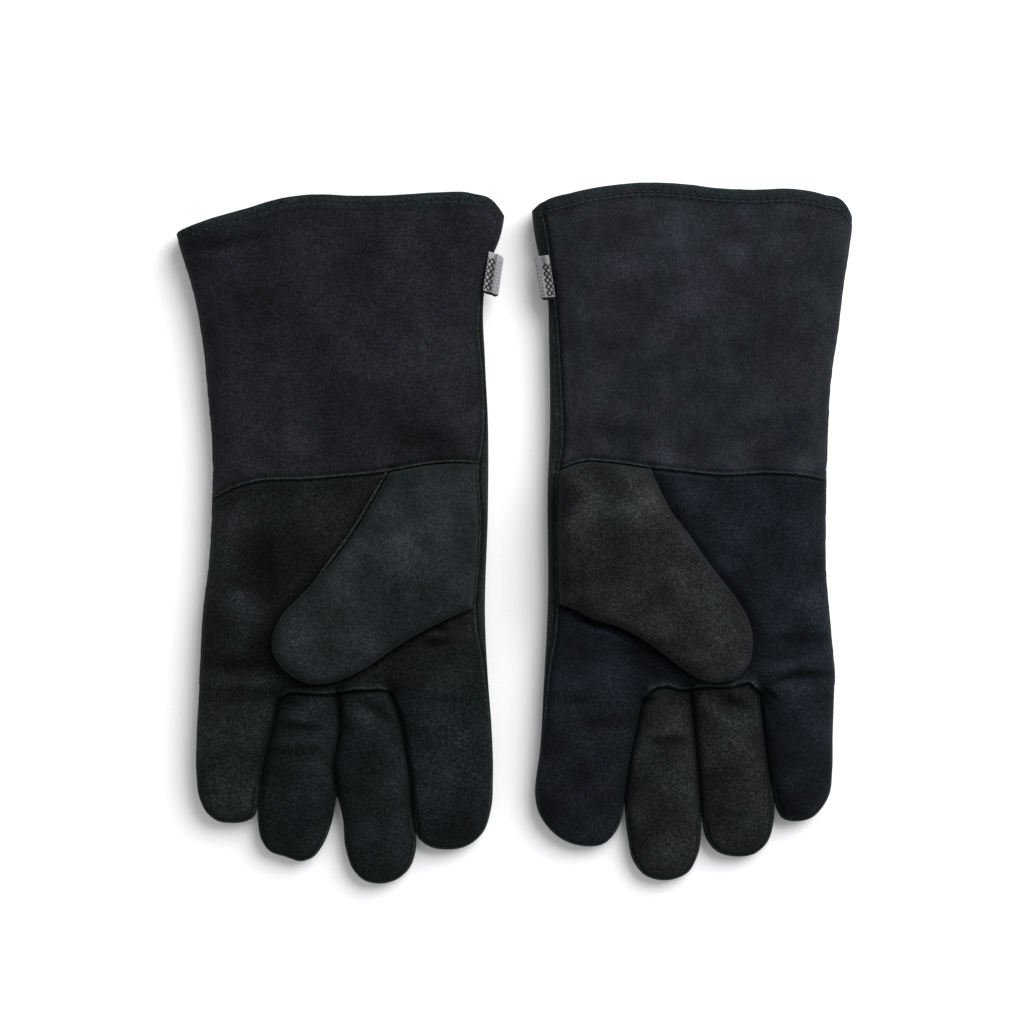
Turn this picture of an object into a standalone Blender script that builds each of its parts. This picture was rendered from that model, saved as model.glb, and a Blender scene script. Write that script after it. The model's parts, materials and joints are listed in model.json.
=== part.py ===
"""A pair of heat resistant leather gauntlet gloves, lying palm up with the thumbs folded over the palms.

Each glove is built in its own plan: u runs outwards from the middle of the pair, from the thumb side to the
little finger side, v runs from the fingertips to the mouth of the cuff, and z is up. The left glove takes
x = -u and the right glove x = u. Sizes are in millimetres and become metres when a mesh is made.
"""

import math
from collections import namedtuple

import bmesh
import bpy
from mathutils import Vector

MM = 0.001

# Materials, from the outside in
LEATHER = 1.6
FABRIC = 1.5
GAP = 0.3
LOOSE = 0.8
WELT = 1.2
WALL = LEATHER + LOOSE + FABRIC

# Heights: the side seams lie in one level plane, and the back of the hand rests on z = 0
SEAM = 10.0
HAND_RISE = 12.0
FINGER_RISE = 11.0
BACK_DROP = 10.0
WELT_SPLIT = WELT / 2 + GAP
DIGIT_SPLIT = GAP / 2
BACK_FLATTENING = 1.18

# Folding lines of the fingers and of the wrist
KNUCKLE_V = -90.0
WRIST_V = 49.2
FINGER_LIP_FRONT = 9.2
FINGER_LIP_BACK = 3.5
WRIST_LIP_FRONT = 6.9
WRIST_LIP_BACK = 5.2
LINING_LIP_FINGERS = 12.5
LINING_LIP_WRIST = 9.5

# Thumb: it lies over the palm, and folds about a line square to its own length
THUMB_ROOT = (56.1, -16.2)
THUMB_HEADING = -40.0
THUMB_SEAM = 27.0
THUMB_RISE = 11.0
THUMB_DROP = 4.0
THUMB_LIP = 9.8
THUMB_LIP_SPAN = (-34.0, 0.0, 33.0)
THUMB_CUT = 6.0
THUMB_CUT_SPAN = (-37.0, 35.0)

# Cuff
CUFF_LENGTH = 112.0
MOUTH_RISE = 18.0
MOUTH_DROP = 7.7
BINDING_DEPTH = 7.0
BINDING = 1.0
CUFF_SHARES = (0.0, 0.25, 0.5, 0.75, 1 - BINDING_DEPTH / CUFF_LENGTH, 1.0)
LABEL = (5.4, 23.0, 1.2)
LABEL_V = 134.0
LABEL_OVERLAP = 1.6
LABEL_HEIGHT = SEAM + 8.4
LABEL_FALL = 3.0

# Facets
ACROSS_HAND = 10
ACROSS_DIGIT = 6
TIP_TURNS = (35, 60, 78)
SQUARENESS_HAND = 3.0
SQUARENESS_DIGIT = 2.5

SIDES = ("inner", "outer")
Row = namedtuple("Row", "inner outer rise drop bow")
Digit = namedtuple("Digit", "name root heading edges length seam rise drop")
Glove = namedtuple("Glove", "name side hand cuff_inner cuff_outer brim thumb_corners seam_ends fingers thumb")


def fingers(index, middle, ring, little):
    """The four fingers, each given as its edges at distances from the knuckle, and its length."""
    named = (("index", index), ("middle", middle), ("ring", ring), ("little", little))
    return [
        Digit(name, (0.0, KNUCKLE_V), -90.0, edges, length, SEAM, FINGER_RISE, BACK_DROP)
        for name, (edges, length) in named
    ]


def thumb(edges, length):
    """The thumb, given as its edges at distances from its fold, and its length."""
    return Digit("thumb", THUMB_ROOT, THUMB_HEADING, edges, length, THUMB_SEAM, THUMB_RISE, THUMB_DROP)


LEFT = Glove(
    "left",
    -1,
    hand=((-95, 11.8, 163.6), (-64, 13.4, 161.2), (-33, 14.4, 159.7), (0, 14.0, 156.6), (49.2, 13.4, 155.5)),
    cuff_inner=((49.2, 13.4), (75, 13.9), (106, 15.4), (137, 14.0), (152, 9.0), (168, 5.6)),
    cuff_outer=((49.2, 155.5), (75, 158.1), (106, 162.7), (137, 169.4), (154.2, 174.3)),
    brim=((-1, 0), (-0.8, 5.0), (-0.5, 10.5), (-0.2, 12.4), (0.2, 13.5), (0.6, 15.0), (0.8, 12.0), (1, 0)),
    thumb_corners=((21.2, -36.6), (63.0, 31.5), (18.5, 34.5)),
    seam_ends=(37.0, 20.5),
    fingers=fingers(
        (((0, 12.2, 59.9), (31, 11.0, 54.0), (56, 12.2, 50.2)), 71.4),
        (((0, 61.1, 89.9), (31, 55.2, 91.6), (56, 51.4, 88.3), (70, 49.8, 87.4)), 90.8),
        (((0, 91.1, 120.2), (31, 92.8, 128.8), (56, 94.0, 132.2)), 78.4),
        (((0, 121.4, 162.6), (31, 130.0, 163.8), (45, 132.3, 161.8)), 58.6),
    ),
    thumb=thumb(((0, -32.0, 31.5), (26, -27.3, 25.0), (54, -25.0, 21.3)), 82.0),
)
RIGHT = Glove(
    "right",
    1,
    hand=((-95, 14.4, 164.3), (-64, 16.0, 164.6), (-33, 17.4, 161.7), (0, 17.5, 160.7), (49.2, 18.4, 162.0)),
    cuff_inner=((49.2, 18.4), (75, 18.2), (106, 17.8), (137, 13.9), (152, 11.3), (169, 8.9)),
    cuff_outer=((49.2, 162.0), (75, 164.3), (106, 167.4), (137, 171.0), (152, 173.0), (166.5, 174.3)),
    brim=((-1, 0), (-0.8, 9.0), (-0.4, 10.4), (0, 9.8), (0.4, 11.6), (0.7, 10.2), (0.9, 4.4), (1, 0)),
    thumb_corners=((23.2, -35.3), (67.5, 31.0), (22.5, 34.5)),
    seam_ends=(37.0, 27.0),
    fingers=fingers(
        (((0, 14.8, 65.9), (31, 12.4, 57.8), (56, 14.5, 54.0)), 70.3),
        (((0, 67.1, 91.2), (31, 59.0, 95.4), (56, 58.0, 96.7)), 88.0),
        (((0, 92.4, 126.6), (31, 96.6, 131.0), (56, 98.0, 134.0)), 75.4),
        (((0, 127.8, 164.6), (31, 132.2, 164.3), (45, 134.8, 161.6)), 57.6),
    ),
    thumb=thumb(((0, -31.5, 36.5), (26, -23.5, 30.5), (54, -19.5, 24.0)), 81.0),
)


# ---------------------------------------------------------------- curves and sections


def smooth_curve(points):
    """A function that passes smoothly through (x, y) points given in order of x."""
    xs, ys = zip(*points)
    last = len(xs) - 1

    def slope(i):
        low, high = max(i - 1, 0), min(i + 1, last)
        return (ys[high] - ys[low]) / (xs[high] - xs[low])

    def value(x):
        x = min(max(x, xs[0]), xs[last])
        i = max(k for k in range(last) if xs[k] <= x)
        step = xs[i + 1] - xs[i]
        t = (x - xs[i]) / step
        return (
            ys[i] * (1 + 2 * t) * (1 - t) ** 2
            + ys[i + 1] * t * t * (3 - 2 * t)
            + step * (slope(i) * t * (1 - t) ** 2 - slope(i + 1) * t * t * (1 - t))
        )

    return value


def arch(angle, squareness):
    """Across (-1 to 1) and height (0 to 1) on a squared half ellipse, at an angle from 0 to pi."""
    c, s = math.cos(angle), math.sin(angle)
    return -math.copysign(abs(c) ** (2 / squareness), c), abs(s) ** (2 / squareness)


def straight(_across):
    """The bow of a row that runs straight across."""
    return 0.0


def plan_at(row, across):
    """A row's point in plan, from -1 at its thumb side to 1 at its outer side."""
    point = row.inner.lerp(row.outer, (across + 1) / 2)
    return point + Vector((0, row.bow(across)))


def digit_plan(digit, along, across):
    """A point in plan, given along the digit from its fold and across it."""
    heading = math.radians(digit.heading)
    direction = Vector((math.cos(heading), math.sin(heading)))
    square = Vector((-direction.y, direction.x))
    return Vector(digit.root) + direction * along + square * across


def front_point(row, angle, squareness, seam=SEAM, split=0.0):
    """A point on the palm side of a row, above the seam plane."""
    across, lift = arch(angle, squareness)
    return (*plan_at(row, across), seam + split + (row.rise - split) * lift)


def back_point(row, angle, squareness, seam=SEAM, split=0.0):
    """A point on the back of a row, below the seam plane, flat in its middle where it rests."""
    across, lift = arch(angle, squareness)
    lift = min(1.0, lift * BACK_FLATTENING)
    return (*plan_at(row, across), seam - split - (row.drop - split) * lift)


def ring_point(row, step, steps, squareness, seam=SEAM):
    """A point on a whole section: steps points over the front, then as many under the back."""
    if step <= steps:
        return front_point(row, math.pi * step / steps, squareness, seam)
    return back_point(row, math.pi * (2 - step / steps), squareness, seam)


# ---------------------------------------------------------------- solids


def lattice(bm, sections, side, wrap_path, wrap_section):
    """Quads between neighbouring sections, which all have the same number of points."""
    rows = [[bm.verts.new((side * u * MM, v * MM, z * MM)) for u, v, z in s] for s in sections]
    pairs = list(zip(rows, rows[1:])) + ([(rows[-1], rows[0])] if wrap_path else [])
    count = len(rows[0])
    for a, b in pairs:
        for k in range(count if wrap_section else count - 1):
            bm.faces.new((a[k], a[(k + 1) % count], b[(k + 1) % count], b[k]))
    return rows


def sheet(bm, side, sections):
    """A solid swept along closed sections, with its two ends filled."""
    rows = lattice(bm, sections, side, wrap_path=False, wrap_section=True)
    bm.faces.new(rows[0])
    bm.faces.new(rows[-1])


def loop(bm, side, sections):
    """A solid swept along closed sections and back to its start."""
    lattice(bm, sections, side, wrap_path=True, wrap_section=True)


def half_bag(bm, side, sections):
    """Half a finger: sections run from the outer tip to the root and back inside, and the tip is filled."""
    rows = lattice(bm, sections, side, wrap_path=False, wrap_section=False)
    bm.faces.new([row[0] for row in rows])
    bm.faces.new([row[-1] for row in rows])
    bm.faces.new(rows[0] + rows[-1][::-1])


def bag(bm, side, sections):
    """A whole finger bag, open at its root."""
    rows = lattice(bm, sections, side, wrap_path=True, wrap_section=False)
    bm.faces.new([row[0] for row in rows])
    bm.faces.new([row[-1] for row in rows])


def make_object(name, bm, material, parent):
    """Finishes a mesh built in world metres as an object under its parent empty."""
    bmesh.ops.recalc_face_normals(bm, faces=bm.faces)
    bmesh.ops.translate(bm, verts=bm.verts, vec=-parent.matrix_world.translation)
    mesh = bpy.data.meshes.new(name)
    bm.to_mesh(mesh)
    bm.free()
    mesh.shade_smooth()
    mesh.set_sharp_from_angle(angle=math.radians(40))
    mesh.materials.append(material)
    obj = bpy.data.objects.new(name, mesh)
    bpy.context.scene.collection.objects.link(obj)
    obj.parent = parent
    return obj


def build(glove, piece, shape, sections, material, parent):
    """One node of one solid, made by one of the solid functions above."""
    bm = bmesh.new()
    shape(bm, glove.side, sections)
    return make_object(f"{glove.name}_{piece}", bm, material, parent)


def make_empty(name, location, parent=None):
    """An empty on a joint's axis, or at the origin for a whole glove. Location is in world millimetres."""
    empty = bpy.data.objects.new(name, None)
    bpy.context.scene.collection.objects.link(empty)
    world = Vector(location) * MM
    empty.parent = parent
    empty.location = world - (parent.matrix_world.translation if parent else Vector())
    bpy.context.view_layer.update()
    return empty


def make_material(name, colour, roughness):
    """A matt material in the piece's colour."""
    material = bpy.data.materials.new(name)
    material.use_nodes = True
    shader = material.node_tree.nodes["Principled BSDF"]
    shader.inputs["Base Color"].default_value = (*colour, 1)
    shader.inputs["Roughness"].default_value = roughness
    shader.inputs["Metallic"].default_value = 0.0
    return material


# ---------------------------------------------------------------- hand


def hand_row(glove, v, inset=0.0):
    """A row across the hand, drawn in from the outer surface by inset."""
    inner = smooth_curve([(at, u) for at, u, _ in glove.hand])(v) + inset
    outer = smooth_curve([(at, u) for at, _, u in glove.hand])(v) - inset
    rise = smooth_curve(((KNUCKLE_V, FINGER_RISE), (-60, HAND_RISE), (WRIST_V, HAND_RISE)))(v)
    return Row(Vector((inner, v)), Vector((outer, v)), rise - inset, BACK_DROP - inset, straight)


def between(low, high, count):
    """count values from low to high, evenly spaced."""
    return [low + (high - low) * k / (count - 1) for k in range(count)]


def wall_sections(point, outer_rows, inner_rows, squareness, split):
    """Sections of a wall for each step across it: out along the outer rows, back along the inner rows."""
    rows = outer_rows + inner_rows[::-1]
    return [
        [point(row, math.pi * k / ACROSS_HAND, squareness, SEAM, split) for row in rows]
        for k in range(ACROSS_HAND + 1)
    ]


def hand_panel(glove, point, low, high):
    """One side of the hand between two values of v, one leather thick."""
    vs = between(low, high, 7)
    outer = [hand_row(glove, v) for v in vs]
    inner = [hand_row(glove, v, LEATHER) for v in vs]
    return wall_sections(point, outer, inner, SQUARENESS_HAND, WELT_SPLIT)


def prism(name, glove, outline, low):
    """A guide solid that stands over an outline in plan and cuts upwards from a height."""
    bm = bmesh.new()
    sections = [[(u, v, z) for u, v in outline] for z in (low, low + 50.0)]
    sheet(bm, glove.side, sections)
    bmesh.ops.recalc_face_normals(bm, faces=bm.faces)
    mesh = bpy.data.meshes.new(name)
    bm.to_mesh(mesh)
    bm.free()
    cutter = bpy.data.objects.new(name, mesh)
    bpy.context.scene.collection.objects.link(cutter)
    cutter.hide_render = True
    cutter.display_type = "WIRE"
    return cutter


def cut_with(obj, cutter):
    """Cuts the guide solid out of the object."""
    modifier = obj.modifiers.new("thumb_hole", "BOOLEAN")
    modifier.operation = "DIFFERENCE"
    modifier.object = cutter
    modifier.solver = "EXACT"


def thumb_hole(glove, margin):
    """The corner of the hand that the thumb's base panel covers instead of the palm."""
    heel, crest, corner = glove.thumb_corners
    low, high = (digit_plan(glove.thumb, -THUMB_CUT, across) for across in THUMB_CUT_SPAN)
    return [
        (0.0, heel[1] - margin),
        (heel[0], heel[1] - margin),
        tuple(low - Vector((0, margin))),
        tuple(high),
        (crest[0] + margin, crest[1] + margin),
        (0.0, corner[1] + margin),
    ]


def thumb_base_sections(glove):
    """The fixed part of the thumb's leather, from the side seam up to the thumb's fold."""
    heel, crest, corner = (Vector(c) for c in glove.thumb_corners)
    columns, rows = 8, 5
    crown = THUMB_SEAM + THUMB_RISE
    lip_foot = 23.6
    path = [digit_plan(glove.thumb, -THUMB_LIP, across) for across in THUMB_LIP_SPAN] + [crest]
    lip_u = smooth_curve([(k / 3, p.x) for k, p in enumerate(path)])
    lip_v = smooth_curve([(k / 3, p.y) for k, p in enumerate(path)])

    def point(c, r, inset):
        foot = heel.lerp(corner, c) + Vector((inset, 0))
        plan = foot.lerp(Vector((lip_u(c), lip_v(c))), r)
        ridge = lip_foot + (crown - lip_foot) * math.sin(math.pi * c) ** 0.7
        base = SEAM + WELT_SPLIT
        return (plan.x, plan.y, base + (ridge - base - inset) * math.sin(math.pi / 2 * r) ** 0.8)

    return [
        [point(c, r, 0.0) for r in between(0, 1, rows)] + [point(c, r, LEATHER) for r in between(1, 0, rows)]
        for c in between(0, 1, columns)
    ]


def lining_sections(glove, stations, row_at):
    """Sections of a fabric sleeve around the glove, for each step around it."""
    outer = [row_at(glove, at, LEATHER + LOOSE) for at in stations]
    inner = [row_at(glove, at, WALL) for at in stations]
    return [
        [ring_point(row, k, ACROSS_HAND, SQUARENESS_HAND) for row in outer + inner[::-1]]
        for k in range(2 * ACROSS_HAND)
    ]


def welt_sections(edge, vs, outwards):
    """A flat strip in a side seam, standing out of it by one strip thickness."""
    reach_out, reach_in = WELT, LEATHER
    low, high = SEAM - WELT / 2, SEAM + WELT / 2
    return [
        [
            (edge(v) + outwards * reach_out, v, low),
            (edge(v) + outwards * reach_out, v, high),
            (edge(v) - outwards * reach_in, v, high),
            (edge(v) - outwards * reach_in, v, low),
        ]
        for v in vs
    ]


def piping_sections(glove, line, start, end, count):
    """A cord of leather along a seam line on the palm, from one share of its width to another."""
    width, height = 2.4, 1.2
    sections = []
    for across in between(start, end, count):
        v = line(across)
        row = hand_row(glove, v)
        u = plan_at(row, across).x
        lift = (1 - abs(across) ** SQUARENESS_HAND) ** (1 / SQUARENESS_HAND)
        foot = SEAM + WELT_SPLIT + (row.rise - WELT_SPLIT) * lift + LOOSE
        sections.append([
            (u, v - width / 2, foot), (u, v + width / 2, foot),
            (u, v + width / 3, foot + height), (u, v - width / 3, foot + height),
        ])
    return sections


def make_hand(glove, parent, leather, lining, edging):
    """The palm, the back, the lining, the thumb's base and the seams of one hand."""
    front_low, front_high = KNUCKLE_V + FINGER_LIP_FRONT, WRIST_V - WRIST_LIP_FRONT
    back_low, back_high = KNUCKLE_V + FINGER_LIP_BACK, WRIST_V - WRIST_LIP_BACK
    palm = build(glove, "palm", sheet, hand_panel(glove, front_point, front_low, front_high), leather, parent)
    cut_with(palm, prism(f"{glove.name}_palm_cutter", glove, thumb_hole(glove, 1.0), SEAM / 2))
    build(glove, "hand_back", sheet, hand_panel(glove, back_point, back_low, back_high), leather, parent)

    vs = between(KNUCKLE_V + LINING_LIP_FINGERS, WRIST_V - LINING_LIP_WRIST, 5)
    sections = lining_sections(glove, vs, hand_row)
    inside = build(glove, "hand_lining", loop, sections, lining, parent)
    cut_with(inside, prism(f"{glove.name}_lining_cutter", glove, thumb_hole(glove, 2.0), SEAM + 0.5))
    build(glove, "thumb_base", sheet, thumb_base_sections(glove), leather, parent)

    vs = between(back_low, front_high, 6)
    for k, outwards in ((0, -1), (1, 1)):
        edge = smooth_curve([(at, row[k]) for at, *row in glove.hand])
        build(glove, f"hand_{SIDES[k]}_welt", sheet, welt_sections(edge, vs, outwards), edging, parent)

    inner_v, outer_v = glove.seam_ends
    from_crest = (glove.thumb_corners[1][0] + 6.0 - glove.hand[3][1]) / 72.0 - 1.0
    wrist_line = smooth_curve(((-1, inner_v), (1, outer_v)))
    sections = piping_sections(glove, wrist_line, from_crest, 0.9, 10)
    build(glove, "wrist_piping", sheet, sections, edging, parent)
    crotches = [glove.fingers[0].edges[0][2], glove.fingers[2].edges[0][2]]
    row = hand_row(glove, front_low)
    middle, half = (row.inner.x + row.outer.x) / 2, (row.outer.x - row.inner.x) / 2
    start, end = ((u - middle) / half for u in crotches)
    knuckle_line = smooth_curve(((-1, front_low + 1.4), (1, front_low + 1.4)))
    sections = piping_sections(glove, knuckle_line, start, end, 6)
    build(glove, "knuckle_piping", sheet, sections, edging, parent)


# ---------------------------------------------------------------- cuff


def cuff_row(glove, share, inset=0.0):
    """A row across the cuff, from the wrist (0) to the mouth (1), which bows up to the brim."""

    def edge(points):
        low, high = points[0][0], points[-1][0]
        v = low + (high - low) * share
        return Vector((smooth_curve(points)(v), v))

    inner, outer = edge(glove.cuff_inner), edge(glove.cuff_outer)
    brim = smooth_curve(glove.brim)
    rise = HAND_RISE + (MOUTH_RISE - HAND_RISE) * share ** 1.5 - inset
    drop = BACK_DROP + (MOUTH_DROP - BACK_DROP) * share ** 3 - inset
    draw_in = Vector((inset, 0))
    return Row(inner + draw_in, outer - draw_in, rise, drop, lambda across: share**2 * brim(across))


def cuff_panel(glove, point):
    """One side of the cuff, one leather thick."""
    outer = [cuff_row(glove, share) for share in CUFF_SHARES]
    inner = [cuff_row(glove, share, LEATHER) for share in CUFF_SHARES]
    return wall_sections(point, outer, inner, SQUARENESS_HAND, WELT_SPLIT)


def binding_sections(glove):
    """The folded strip over the brim, as a U section carried round the mouth."""
    out, inside, over = -WELT_SPLIT, LEATHER + LOOSE, -GAP
    profile = (
        (out - BINDING, BINDING_DEPTH), (out, BINDING_DEPTH), (out, over), (inside, over),
        (inside, BINDING_DEPTH), (inside + BINDING, BINDING_DEPTH),
        (inside + BINDING, over - BINDING), (out - BINDING, over - BINDING),
    )
    return [
        [
            ring_point(cuff_row(glove, 1.0 - depth / CUFF_LENGTH, inset), k, ACROSS_HAND, SQUARENESS_HAND)
            for inset, depth in profile
        ]
        for k in range(2 * ACROSS_HAND)
    ]


def label_sections(glove):
    """The folded woven label over the thumb side's edge, as a flattened loop that slopes outwards."""
    reach, length, thick = LABEL
    edge = smooth_curve(glove.cuff_inner)
    slot, hollow, turn = 1.5, 0.3, 0.4

    def loop_at(v):
        near, far = edge(v) + LABEL_OVERLAP, edge(v) + LABEL_OVERLAP - reach
        slope = LABEL_FALL / reach
        profile = (
            (near, -thick / 2), (far + turn, -thick / 2), (far, 0.0), (far + turn, thick / 2),
            (near, thick / 2), (near, hollow / 2), (far + slot, hollow / 2),
            (far + slot, -hollow / 2), (near, -hollow / 2),
        )
        return [(u, v, LABEL_HEIGHT + slope * (u - near) + z) for u, z in profile]

    start, end = LABEL_V - length / 2, LABEL_V + length / 2
    return [loop_at(v) for v in (start, LABEL_V, end)]


def make_cuff(glove, parent, leather, lining, edging, woven):
    """The cuff's two panels, its lining, its binding, its seams and the label."""
    build(glove, "cuff_front", sheet, cuff_panel(glove, front_point), leather, parent)
    build(glove, "cuff_back", sheet, cuff_panel(glove, back_point), leather, parent)
    shares = (*CUFF_SHARES[:-2], CUFF_SHARES[-2] - 2 * LOOSE / CUFF_LENGTH)
    sections = lining_sections(glove, shares, cuff_row)
    build(glove, "cuff_lining", loop, sections, lining, parent)
    build(glove, "cuff_binding", loop, binding_sections(glove), edging, parent)

    for points, outwards, side in zip((glove.cuff_inner, glove.cuff_outer), (-1, 1), SIDES):
        vs = between(WRIST_V, points[-1][0] - BINDING_DEPTH - LOOSE, 6)
        sections = welt_sections(smooth_curve(points), vs, outwards)
        build(glove, f"cuff_{side}_welt", sheet, sections, edging, parent)
    build(glove, "label", sheet, label_sections(glove), woven, parent)


# ---------------------------------------------------------------- fingers and thumb


def digit_rows(digit, inset):
    """Rows from the root to the rounded tip, drawn in from the outer surface by inset."""
    low = smooth_curve([(at, a) for at, a, _ in digit.edges])
    high = smooth_curve([(at, b) for at, _, b in digit.edges])
    tip = 0.9 * (high(digit.length) - low(digit.length)) / 2
    body = digit.length - tip
    stations = [(0.0, 1.0), (body / 2, 1.0), (body, 1.0)]
    for turn in map(math.radians, TIP_TURNS):
        stations.append((body + (tip - inset) * math.sin(turn), math.cos(turn)))
    rows = []
    for at, width in stations:
        a, b = low(at) + inset, high(at) - inset
        middle, half = (a + b) / 2, (b - a) / 2 * width
        tall = width**0.7
        rows.append(
            Row(
                digit_plan(digit, at, middle - half),
                digit_plan(digit, at, middle + half),
                (digit.rise - inset) * tall,
                (digit.drop - inset) * tall,
                straight,
            )
        )
    return rows


def make_digit(glove, digit, parent, leather, lining):
    """The front, the back and the lining of a finger or a thumb."""
    outer, inner = digit_rows(digit, 0.0)[::-1], digit_rows(digit, LEATHER)
    for piece, point in (("front", front_point), ("back", back_point)):
        sections = [
            [
                point(row, math.pi * k / ACROSS_DIGIT, SQUARENESS_DIGIT, digit.seam, DIGIT_SPLIT)
                for row in outer + inner
            ]
            for k in range(ACROSS_DIGIT + 1)
        ]
        build(glove, f"{digit.name}_{piece}", half_bag, sections, leather, parent)
    rows = digit_rows(digit, LEATHER + LOOSE)[::-1] + digit_rows(digit, WALL)
    sections = [
        [ring_point(row, k, ACROSS_DIGIT, SQUARENESS_DIGIT, digit.seam) for row in rows]
        for k in range(2 * ACROSS_DIGIT)
    ]
    build(glove, f"{digit.name}_lining", bag, sections, lining, parent)


# ---------------------------------------------------------------- the pair


def make_glove(glove):
    """One glove: empties on its joints' axes, with the pieces that turn with them."""
    charcoal = make_material(f"{glove.name}_suede", (0.016, 0.018, 0.021), 0.95)
    edging = make_material(f"{glove.name}_edging", (0.012, 0.022, 0.021), 0.9)
    lining = make_material(f"{glove.name}_lining", (0.05, 0.05, 0.052), 0.95)
    woven = make_material(f"{glove.name}_label", (0.30, 0.31, 0.32), 0.8)

    body = make_empty(f"{glove.name}_glove", (0, 0, 0))
    make_hand(glove, body, charcoal, lining, edging)
    row = cuff_row(glove, 0.0)
    middle = glove.side * (row.inner.x + row.outer.x) / 2
    wrist = make_empty(f"{glove.name}_wrist", (middle, WRIST_V, SEAM), body)
    make_cuff(glove, wrist, charcoal, lining, edging, woven)
    for digit in glove.fingers:
        _, low, high = digit.edges[0]
        knuckle = make_empty(
            f"{glove.name}_{digit.name}_knuckle", (glove.side * (low + high) / 2, KNUCKLE_V, SEAM), body
        )
        make_digit(glove, digit, knuckle, charcoal, lining)
    fold = (glove.side * THUMB_ROOT[0], THUMB_ROOT[1], THUMB_SEAM)
    make_digit(glove, glove.thumb, make_empty(f"{glove.name}_thumb_fold", fold, body), charcoal, lining)


def main():
    for obj in list(bpy.data.objects):
        bpy.data.objects.remove(obj)
    for glove in (LEFT, RIGHT):
        make_glove(glove)


main()
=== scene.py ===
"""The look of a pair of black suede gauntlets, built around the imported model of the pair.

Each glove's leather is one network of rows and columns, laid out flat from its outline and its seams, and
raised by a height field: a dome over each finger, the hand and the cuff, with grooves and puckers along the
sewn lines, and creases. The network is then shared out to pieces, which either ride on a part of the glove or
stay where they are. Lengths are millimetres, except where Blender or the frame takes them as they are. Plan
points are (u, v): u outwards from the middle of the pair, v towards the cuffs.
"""

import json
import math

import bpy
import numpy as np
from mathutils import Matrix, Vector, kdtree

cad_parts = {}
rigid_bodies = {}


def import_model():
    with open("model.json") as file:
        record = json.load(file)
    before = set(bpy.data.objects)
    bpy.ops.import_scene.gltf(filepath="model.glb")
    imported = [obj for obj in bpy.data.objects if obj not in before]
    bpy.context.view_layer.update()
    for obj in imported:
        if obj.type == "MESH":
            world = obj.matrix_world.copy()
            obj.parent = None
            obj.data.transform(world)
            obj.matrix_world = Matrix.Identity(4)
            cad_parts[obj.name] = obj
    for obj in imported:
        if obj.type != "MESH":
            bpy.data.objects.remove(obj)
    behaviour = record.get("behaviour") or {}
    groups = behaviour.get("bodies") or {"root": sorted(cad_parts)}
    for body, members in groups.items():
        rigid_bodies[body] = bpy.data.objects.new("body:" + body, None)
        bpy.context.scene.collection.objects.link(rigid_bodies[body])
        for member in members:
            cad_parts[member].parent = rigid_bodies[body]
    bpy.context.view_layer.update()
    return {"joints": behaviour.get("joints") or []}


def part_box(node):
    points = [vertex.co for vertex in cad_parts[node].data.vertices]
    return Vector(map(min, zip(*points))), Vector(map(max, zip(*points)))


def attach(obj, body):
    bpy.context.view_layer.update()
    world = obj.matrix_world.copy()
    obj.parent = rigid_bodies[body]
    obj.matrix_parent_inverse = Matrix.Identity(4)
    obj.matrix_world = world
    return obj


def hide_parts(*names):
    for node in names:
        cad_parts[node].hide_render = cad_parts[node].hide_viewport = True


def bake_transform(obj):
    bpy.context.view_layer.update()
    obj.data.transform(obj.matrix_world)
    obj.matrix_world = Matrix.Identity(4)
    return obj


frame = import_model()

MM = 0.001
JOINTS = {joint["name"]: joint for joint in frame["joints"]}
FINGERS = ("index", "middle", "ring", "little")

# Heights of the CAD model, and where its wrist bends
SEAM = JOINTS["left_index_curl"]["pos_m"][2] / MM
THUMB_SEAM = JOINTS["left_thumb_lift"]["pos_m"][2] / MM
WRIST = JOINTS["left_wrist_fold"]["pos_m"][1] / MM
HAND_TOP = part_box("left_palm")[1].z / MM
FINGER_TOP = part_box("left_index_front")[1].z / MM
THUMB_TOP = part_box("left_thumb_front")[1].z / MM

# The network: spacing of its rows and columns in the open and beside seams, and its strips
COARSE = 1.35
FINE = 0.55
HAND_LENGTH = 114
CUFF_LENGTH = 137
ROOT_V = -80.0
STRIP_COLUMNS = 4
RIM = 1.9
RIM_LENGTH = 20
HEM_ROLL = 1.4

# One seed for each field of gentle waves, to which the glove's side is added
SEEDS = dict(nap=5, body=11, back=31, dents=51, thumb=71, thumb_dents=91)
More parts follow.
